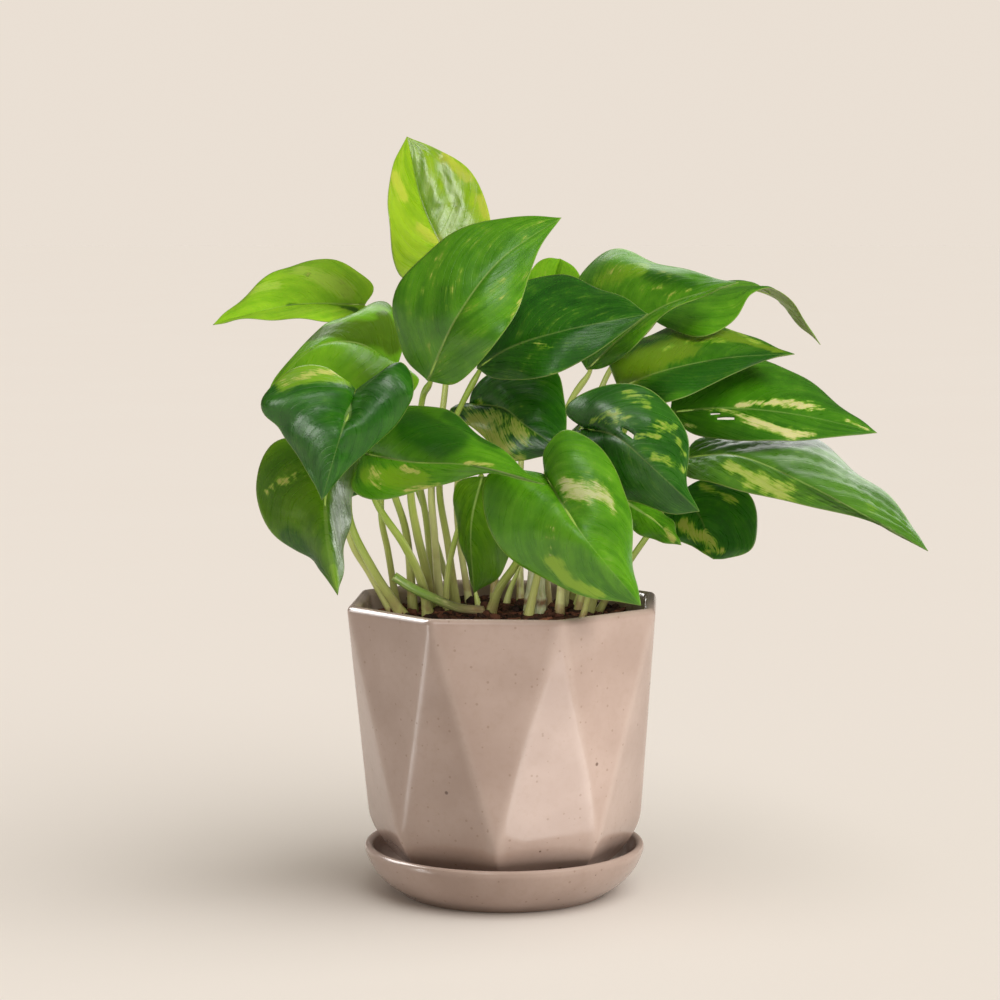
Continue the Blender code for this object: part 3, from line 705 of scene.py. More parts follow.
def tube_into(verts, faces, points, radius, sides, rings, uneven=None):
    """Add a closed tube along a smooth curve. radius(share) is its radius, and uneven(share, turn)
    what that is multiplied by round a ring. Returns the share and turn of each added point."""
    path = resample(spline(points, steps=10), np.linspace(0, 1, rings))
    ahead = np.gradient(path, axis=0)
    ahead /= np.linalg.norm(ahead, axis=1)[:, None]
    side = np.array([1.0, 0.0, 0.0])
    base = len(verts)
    stack = []
    record = []
    for k in range(rings):
        side = side - ahead[k] * side.dot(ahead[k])
        side /= np.linalg.norm(side)
        other = np.cross(ahead[k], side)
        share = k / (rings - 1)
        ring = []
        for n in range(sides):
            turn = 2 * math.pi * n / sides
            reach = radius(share) * (uneven(share, turn) if uneven else 1.0)
            ring.append(tuple(path[k] + (side * math.cos(turn) + other * math.sin(turn)) * reach))
            record.append((share, turn))
        stack.append(ring)
        verts.extend(ring)
    faces.extend(tuple(base + i for i in f) for f in join_rings(stack, closed=False))
    for start, flip in ((base, True), (base + (rings - 1) * sides, False)):
        middle = len(verts)
        verts.append(tuple(path[0 if flip else -1]))
        record.append((0.0 if flip else 1.0, 0.0))
        for k in range(sides):
            a, b = start + k, start + (k + 1) % sides
            faces.append((b, a, middle) if flip else (a, b, middle))
    return record


def leaf_frame(midrib, left, right):
    """Direction of the midrib at the notch, and the normal of the upper side there."""
    along = (Vector(midrib[1]) - Vector(midrib[0])).normalized()
    across = Vector(right[len(right) // 2]) - Vector(left[len(left) // 2])
    return along, across.cross(along).normalized()


def stalk_path(name, sheet, normals):
    """From inside the soil up to the leaf's notch, and on along the underside of its midrib."""
    (x, y), bends, _ = STALKS[name]
    _, midrib, left, right = LEAVES[name]
    along, up = leaf_frame(midrib, left, right)
    heel = Vector(midrib[0]) - up * 2.1 - along * 0.9
    points = [Vector((x, y, SOIL_TOP - 1.0)), *[Vector(b) for b in bends], heel]
    under = []
    for row in (3, 10, 20, 32, 44):
        sunk = Vector(normals[row, MIDDLE]) * (0.55 - 0.008 * row)
        under.append(Vector(sheet[row, MIDDLE]) - sunk)
    return points, under


def make_stalk(name, material, sheet, normals):
    """A stalk with a wide foot, a knee below the leaf and a groove, run on as the leaf's rib."""
    points, under = stalk_path(name, sheet, normals)
    foot = STALKS[name][2]
    lower = sum((b - a).length for a, b in zip(points, points[1:]))
    upper = sum((b - a).length for a, b in zip([points[-1]] + under, under))
    join = lower / (lower + upper)
    knee = join - 5.0 / (lower + upper)

    def radius(share):
        if share > join:
            return RIB_RADIUS - 0.65 * (share - join) / (1 - join)
        up = share / join
        reach = foot * (1.0 + 0.28 * math.exp(-(up / 0.10) ** 2)) + (STALK_TOP - foot) * up ** 0.8
        reach -= (STALK_TOP - RIB_RADIUS) * float(smooth(knee, join, share))
        return reach + 0.25 * math.exp(-((share - knee) / 0.035) ** 2)

    def channel(share, turn):
        if share >= join:
            return 1.0
        return 1.0 - 0.16 * math.exp(-((turn - math.pi) / 0.5) ** 2)

    verts = []
    faces = []
    record = tube_into(verts, faces, points + under, radius, 14, 84, channel)
    shares = np.array([share for share, _ in record])
    data = {"height": np.clip(shares / join, 0, 1), "rib": smooth(join, join + 0.05, shares),
            "turn": np.cos([turn for _, turn in record])}
    add_piece("petiole_" + name, verts, faces, material, "stalk_" + name, data)


# Stalks of the younger leaves are paler; the rest are green
PALE_STALKS = ("crown", "behind_centre", "centre_back", "upper_right", "far_right_top",
               "right_upper")

# Colours at the foot and at the leaf
STALK_COLOURS = {
    "pale": ((0.54, 0.54, 0.23), (0.42, 0.49, 0.12)),
    "green": ((0.40, 0.41, 0.13), (0.24, 0.35, 0.04)),
    "old": ((0.26, 0.20, 0.10), (0.15, 0.25, 0.04)),
}


def stalk_look(kind):
    """Two colours along the stalk, with fine lengthwise streaks and brown scars near the foot."""
    foot, top = STALK_COLOURS[kind]
    look = Look("stalk_" + kind)
    place = look.place()
    height = look.attribute("height")
    turn = look.attribute("turn")
    streak = look.noise(look.vector(look.times(turn, 3.0), look.times(height, 2.5), 0.0), 2.2, 3.0)
    blotch = look.noise(place, 150.0, 3.0)
    rise = look.total(height, look.times(blotch, 0.3), -0.15)
    colour = look.mix(look.step(rise, 0.0, 0.75), foot, top)
    colour = look.mix(look.times(look.step(streak, 0.5, 0.7), 0.5), colour, (0.62, 0.60, 0.27))
    scar = look.times(look.step(height, 0.26, 0.03), look.step(blotch, 0.46, 0.62))
    colour = look.mix(look.times(scar, 0.8), colour, (0.27, 0.17, 0.08))
    colour = look.mix(look.times(look.attribute("rib"), 0.6), colour, (0.22, 0.36, 0.07))
    normal = look.bump(streak, 0.0002, 0.4)
    return look.finish(colour, 0.32, normal, Subsurface_Weight=0.12, Subsurface_Scale=0.002,
                       Subsurface_Radius=(0.8, 1.0, 0.3))


# ---------------------------------------------------------------- cuttings

def make_cuttings(looks):
    """The stout cutting with a node round it, the stub that leans left, and the thin sheaths."""
    for name, (points, top, flare, taper) in CUTTINGS.items():
        knot = 0.35 if name == "cutting" else 0.0
        chance = random.Random(len(name))
        first, second = chance.uniform(0, 6), chance.uniform(0, 6)

        def radius(share):
            node = knot * math.exp(-((share - 0.36) / 0.06) ** 2)
            return top + flare * (1 - share) ** taper + node

        def uneven(share, turn):
            return (1 + 0.05 * math.sin(2 * turn + first + 4 * share)
                    + 0.03 * math.sin(5 * turn + second))

        sunk = 0.0 if name == "stub" else 2.0
        start = Vector(points[0]) - Vector((0, 0, sunk))
        verts = []
        faces = []
        record = tube_into(verts, faces, [start, *points[1:]], radius, 20, 40, uneven)
        data = {"height": [share for share, _ in record],
                "turn": [math.cos(turn) for _, turn in record], "rib": [0.0] * len(record)}
        material = looks.get(name, looks["sheath"])
        add_piece("cut_" + name, verts, faces, material, name, data)


def cutting_look():
    """Pale streaked stem with a brown ring at its node and a few scars."""
    look = Look("cutting_pale")
    place = look.place()
    height = look.attribute("height")
    turn = look.attribute("turn")
    streak = look.noise(look.vector(look.times(turn, 4.0), look.times(height, 1.6), 5.0), 3.0, 3.0)
    blotch = look.noise(place, 260.0, 3.0, 0.6)
    colour = look.mix(look.step(streak, 0.35, 0.7), (0.42, 0.46, 0.22), (0.66, 0.66, 0.46))
    ring = look.times(look.step(height, 0.22, 0.30), look.step(height, 0.42, 0.34))
    ring = look.times(ring, look.step(blotch, 0.35, 0.6, 0.4, 0.95))
    colour = look.mix(ring, colour, (0.22, 0.12, 0.06))
    scar = look.step(blotch, 0.64, 0.76)
    colour = look.mix(look.times(scar, 0.5), colour, (0.36, 0.24, 0.13))
    normal = look.bump(look.total(streak, blotch), 0.0003, 0.5)
    return look.finish(colour, 0.55, normal, Subsurface_Weight=0.1, Subsurface_Scale=0.002)


# ---------------------------------------------------------------- leaves

def leaf_sheet(name):
    """Grid of points of a leaf: rows from notch to tip, columns from left margin to right margin.
    Also its normals, each column's signed share of the half width, each point's place among the
    side veins, and each point's distance from the midrib."""
    _, midrib, left, right = LEAVES[name]
    traits = LOOKS[name]
    shares = np.arange(ROWS + 1) / ROWS
    spine = resample(spline(midrib), shares ** 1.15)
    up = np.array(leaf_frame(midrib, left, right)[1])
    cells = []
    signed = []
    for side, margin in ((-1, left), (1, right)):
        edge = resample(spline([midrib[0], *margin, midrib[-1]]), shares)
        width = np.linalg.norm(edge - spine, axis=1)
        for t in (ACROSS[::-1] if side < 0 else ACROSS[1:]):
            bulge = CAMBER * 4 * t * (1 - t) * width
            cells.append(spine + (edge - spine) * t + up * bulge[:, None])
            signed.append(side * t)
    sheet = np.stack(cells, axis=1)
    signed = np.array(signed)
    normals = sheet_normals(sheet, up)
    t = np.abs(signed)[None, :]
    s = shares[:, None]
    vein = s - VEIN_LEAN * t ** 1.25
    width = np.linalg.norm(sheet - sheet[:, MIDDLE][:, None, :], axis=2)
    ends = smooth(0, 0.12, s) * (1 - smooth(0.88, 1, s))
    seed = sum(ord(c) for c in name)

    # Quilting: the blade swells between the side veins, which alternate from left to right
    phase = vein * traits.get("veins", 9) + np.where(signed[None, :] < 0, 0.35, 0.0)
    ripple = np.abs(np.sin(math.pi * phase)) ** 0.7 - 0.62
    inside = smooth(0.02, 0.25, t) * (1 - smooth(0.72, 1.0, t))
    inside = inside * smooth(0, 0.1, s) * (1 - smooth(0.85, 1, s))
    lift = traits.get("relief", 0.3) * ripple * inside
    # The midrib lies in a groove that fades towards the tip
    groove = np.exp(-(width / (1.3 - 0.6 * s)) ** 2)
    lift = lift - 0.42 * groove * (1 - smooth(0.55, 0.95, s)) * smooth(0, 0.03, s)
    # The margins wave, and the whole blade bends a little
    wave = np.sin(2 * math.pi * (s * 3.2 + signed[None, :] * 0.3) + seed)
    lift = lift + MARGIN_WAVE * smooth(0.55, 1.0, t) * ends * wave
    shift = Vector((seed, 0, 0))
    bends = np.array([[noise.noise(Vector(p) * 0.055 + shift) for p in row] for row in sheet])
    lift = lift + bends * ends * smooth(0.0, 0.3, t)
    for *stroke, rise in traits.get("folds", ()):
        lift = lift + rise * stroke_field([(*stroke, 1.0)], sheet, signed) * ends
    sheet = sheet + normals * lift[:, :, None]
    return sheet, sheet_normals(sheet, up), signed, vein, width


def sheet_normals(sheet, up):
    """Upward normals at the points of a leaf's grid."""
    down = np.gradient(sheet, axis=0)
    over = np.gradient(sheet, axis=1)
    normals = np.cross(over, down)
    normals[0] = normals[1]
    normals[-1] = normals[-2]
    length = np.linalg.norm(normals, axis=2)
    length[length < 1e-9] = 1e-9
    normals = normals / length[:, :, None]
    if normals[4, MIDDLE] @ up < 0:
        normals = -normals
    return normals


def spot(sheet, signed, along, across):
    """Point of a leaf's grid at a share along it and a signed share across it."""
    row = along * (sheet.shape[0] - 1)
    low = min(int(row), sheet.shape[0] - 2)
    line = sheet[low] + (sheet[low + 1] - sheet[low]) * (row - low)
    return np.array([np.interp(across, signed, line[:, k]) for k in range(3)])


def stroke_gap(sheet, signed, s0, t0, s1, t1):
    """Distance of a leaf's grid points from a stroke between two (along, across) spots."""
    start = spot(sheet, signed, s0, t0)
    run = spot(sheet, signed, s1, t1) - start
    share = np.clip(((sheet - start) @ run) / max(run @ run, 1e-9), 0.0, 1.0)
    return np.linalg.norm(sheet - start - share[:, :, None] * run, axis=2)


def stroke_field(strokes, sheet, signed):
    """Largest strength of soft strokes at a leaf's grid points."""
    field = np.zeros(sheet.shape[:2])
    for s0, t0, s1, t1, width, strength in strokes:
        gap = stroke_gap(sheet, signed, s0, t0, s1, t1)
        field = np.maximum(field, strength * np.exp(-0.7 * (gap / width) ** 2))
    return field


def flat_points(sheet):
    """A leaf's grid as one list, in which the notch and the tip are single points."""
    return [sheet[0, MIDDLE], *sheet[1:-1].reshape(-1, 3), sheet[-1, MIDDLE]]


def flat_values(grid, shape):
    """The same list for one number per point."""
    grid = np.broadcast_to(grid, shape)
    return np.concatenate([[grid[0, MIDDLE]], grid[1:-1].ravel(), [grid[-1, MIDDLE]]])


def side_faces(rows, columns, torn):
    """Faces of one side of a leaf: quads, fans at the notch and the tip, and none where torn."""
    tip = (rows - 2) * columns + 1
    last = tip - columns
    faces = []
    for j in range(columns - 1):
        faces.append((0, 1 + j, 2 + j))
        faces.append((tip, last + j + 1, last + j))
        for i in range(rows - 3):
            if not torn[i + 1, j]:
                a = 1 + i * columns + j
                faces.append((a, a + columns, a + columns + 1, a + 1))
    return faces


def shell_faces(top, over, below):
    """Faces of both sides of a leaf and of the rims between them, turned outwards."""
    first = top[len(top) // 2]
    a, b, c = (Vector(over[k]) for k in first[:3])
    if (b - a).cross(c - a).dot(a - Vector(below[first[0]])) < 0:
        top = [tuple(reversed(f)) for f in top]
    once = set()
    for face in top:
        for p, q in zip(face, face[1:] + face[:1]):
            if (q, p) in once:
                once.remove((q, p))
            else:
                once.add((p, q))
    count = len(over)
    faces = list(top)
    faces += [tuple(k + count for k in reversed(f)) for f in top]
    faces += [(q, p, p + count, q + count) for p, q in sorted(once)]
    return faces


def margin_gaps(width, signed):
    """How far each point of a leaf is from the margin on its side, in millimetres."""
    gaps = np.zeros(width.shape)
    for half in (slice(0, MIDDLE + 1), slice(MIDDLE, len(signed))):
        full = width[:, half].max(axis=1)[:, None]
        gaps[:, half] = (1 - np.abs(signed[half]))[None, :] * full
    return gaps


def make_leaf(name, material):
    """A blade, thin at its margins, and its markings, painted shade and painted light among them;
    returns the grid that the stalk follows.
    """
    sheet, normals, signed, vein, width = leaf_sheet(name)
    rows, columns = shape = sheet.shape[:2]
    traits = LOOKS[name]
    shares = np.arange(rows)[:, None] / (rows - 1)
    thick = BLADE / 2 * (1 - 0.55 * smooth(0.86, 1.0, np.abs(signed)))[None, :]
    thick = thick * (1 - 0.5 * smooth(0.93, 1.0, shares))
    offset = normals * thick[:, :, None]
    over = flat_points(sheet + offset)
    below = flat_points(sheet - offset)
    torn = np.zeros(shape, bool)
    for *stroke, half in traits.get("holes", ()):
        gap = stroke_gap(sheet, signed, *stroke)
        corners = (gap[:-1, :-1] + gap[1:, :-1] + gap[:-1, 1:] + gap[1:, 1:]) / 4
        torn[:-1, :-1] |= corners < half + 0.25
    faces = shell_faces(side_faces(rows, columns, torn), over, below)
    verts = over + below
    # edge: distance from the margin, which the look uses for a painted highlight along it
    grids = {"vein": vein, "along": shares, "across": signed[None, :],
             "rib": width / (1.15 - 0.75 * shares), "edge": margin_gaps(width, signed)}
    # Stroke fields: patches are variegation, the deep strokes are painted shade, and the lime
    # strokes are partly variegation and partly painted light
    for key, kind in (("patch", "patches"), ("lime", "lime"), ("deep_green_and_painted_shade", "deep_green_and_painted_shade")):
        grids[key] = stroke_field(traits.get(kind, ()), sheet, signed)
    data = {key: np.tile(flat_values(grid, shape), 2) for key, grid in grids.items()}
    data["under"] = np.repeat([0.0, 1.0], len(over))
    used = sorted({k for f in faces for k in f})
    if len(used) < len(verts):
        renumber = {old: new for new, old in enumerate(used)}
        verts = [verts[k] for k in used]
        faces = [tuple(renumber[k] for k in f) for f in faces]
        data = {key: values[used] for key, values in data.items()}
    add_piece("blade_" + name, verts, faces, material, "leaf_" + name, data)
    return sheet, normals


def leaf_look(name):
    """A living blade: two greens in streaks along the side veins, zones of painted shade, lime zones
    that are partly variegation and partly painted light, frayed patches from lime to cream, flecks,
    a pale rib, a margin drawn pale as a painted highlight, and a paler, duller underside."""
    traits = LOOKS[name]
    deep_green_and_painted_shade, fresh = GREENS[traits["green"]]
    flecks = traits["flecks"]
    cream = traits.get("cream", (0.50, 0.54, 0.14))
    seed = (sum(ord(c) for c in name) * 37 % 101) * 1.7
    look = Look("leaf_" + name)
    place = look.place()
    vein = look.attribute("vein")
    across = look.attribute("across")
    under = look.attribute("under")

    def streaks(along, over, detail, shift):
        spot = look.vector(look.times(vein, along), look.times(across, over), seed + shift)
        return look.noise(spot, 1.0, detail, 0.55)

    broad = streaks(7.0, 1.6, 2.0, 0.0)
    fine = streaks(38.0, 4.0, 3.0, 3.1)
    hair = streaks(110.0, 11.0, 2.0, 7.7)
    blots = look.noise(place, 210.0, 3.0, 0.6)
    cells = look.noise(place, 1500.0, 2.0)

    tone = look.weigh(-0.32, (broad, 0.9), (fine, 0.28), (blots, 0.45))
    colour = look.mix(look.step(tone, 0.25, 0.75), deep_green_and_painted_shade, fresh)
    # Painted shade: the deep strokes, broken up by broad streaks and blots, pull the blade towards a
    # shade colour
    painted_shade_mask = look.total(look.attribute("deep_green_and_painted_shade"), look.weigh(-0.55, (broad, 0.6), (blots, 0.5)))
    shade = traits.get("painted_shade_colour", GREENS["dark"][0])
    colour = look.mix(look.step(painted_shade_mask, 0.20, 0.75, 0.0, 0.85), colour, shade)
    wave = look.maths("SINE", look.times(vein, 4 * math.pi * traits.get("veins", 9)))
    line = look.step(wave, 0.93, 1.0)
    drawn = look.times(line, look.step(broad, 0.40, 0.65, 0.0, 0.08))
    colour = look.mix(drawn, colour, (0.26, 0.44, 0.08))

    # Lime zones: partly yellow-green variegation, partly painted light where the blade is lit or
    # glows through
    lime_and_painted_light_mask = look.attribute("lime")
    lime = look.total(lime_and_painted_light_mask, look.weigh(-1.30, (broad, 0.9), (fine, 1.1), (blots, 0.6)))
    near = look.step(lime_and_painted_light_mask, 0.02, 0.30, flecks, 1.0)
    tint = traits.get("lime_and_painted_light_tint", (0.18, 0.37, 0.012))
    colour = look.mix(look.times(near, look.step(lime, 0.15, 0.75)), colour, tint)

    marked = look.attribute("patch")
    fray = look.weigh(-2.50, (broad, 0.8), (fine, 1.7), (hair, 0.8), (blots, 1.6))
    patch = look.total(marked, fray)
    inner = look.total(patch, look.times(hair, 0.9), -0.45)
    near = look.step(marked, 0.02, 0.30, flecks, 1.0)
    for level, low, high, tint in ((patch, 0.12, 0.50, (0.16, 0.34, 0.018)),
                                   (patch, 0.34, 0.74, look.mix(0.5, cream, (0.30, 0.44, 0.04))),
                                   (inner, 0.55, 0.98, cream)):
        colour = look.mix(look.times(near, look.step(level, low, high)), colour, tint)
    speck = look.total(hair, look.times(broad, 0.35), look.times(blots, 0.25))
    fleck = look.step(speck, 1.15 - 0.14 * flecks, 1.26 - 0.14 * flecks)
    colour = look.mix(look.times(fleck, 0.15 + 0.4 * flecks), colour, (0.33, 0.50, 0.12))

    rib = look.step(look.attribute("rib"), 0.75, 0.2)
    fade = look.step(look.attribute("along"), 1.0, 0.25, 0.35, 1.0)
    rib = look.times(look.times(rib, fade), traits.get("rib", 0.6))
    colour = look.mix(rib, colour, (0.36, 0.52, 0.14))
    # Painted highlight: the margin is drawn paler, as a rim catching the light
    edge = look.step(look.attribute("edge"), 0.45, 0.1)
    colour = look.mix(look.times(edge, 0.4), colour, (0.36, 0.48, 0.13))
    pale = look.mix(0.6, colour, traits.get("under_colour", (0.20, 0.29, 0.10)))
    colour = look.mix(under, colour, pale)
    rough = look.total(look.step(fine, 0.3, 0.7, 0.26, 0.40), look.times(under, 0.12))
    height = look.total(look.times(cells, 0.5), look.times(hair, 0.6), look.times(line, -0.6))
    normal = look.bump(height, 0.00012, 0.5)
    return look.finish(colour, rough, normal, Subsurface_Weight=0.18, Subsurface_Scale=0.003,
                       Subsurface_Radius=(0.6, 1.0, 0.15), Specular_IOR_Level=0.5)


# Greens, each as the deeper and the fresher shade that a blade varies between
GREENS = {
    "dark": ((0.011, 0.086, 0.003), (0.028, 0.150, 0.005)),
    "forest": ((0.028, 0.135, 0.003), (0.058, 0.215, 0.006)),
    "grey": ((0.050, 0.150, 0.012), (0.085, 0.230, 0.020)),
    "mid": ((0.052, 0.205, 0.004), (0.112, 0.335, 0.009)),
    "bright": ((0.120, 0.330, 0.006), (0.200, 0.460, 0.012)),
    "lime": ((0.205, 0.460, 0.011), (0.335, 0.620, 0.022)),
    "yellow": ((0.225, 0.425, 0.010), (0.360, 0.575, 0.020)),
    "olive": ((0.056, 0.160, 0.003), (0.105, 0.245, 0.005)),
}
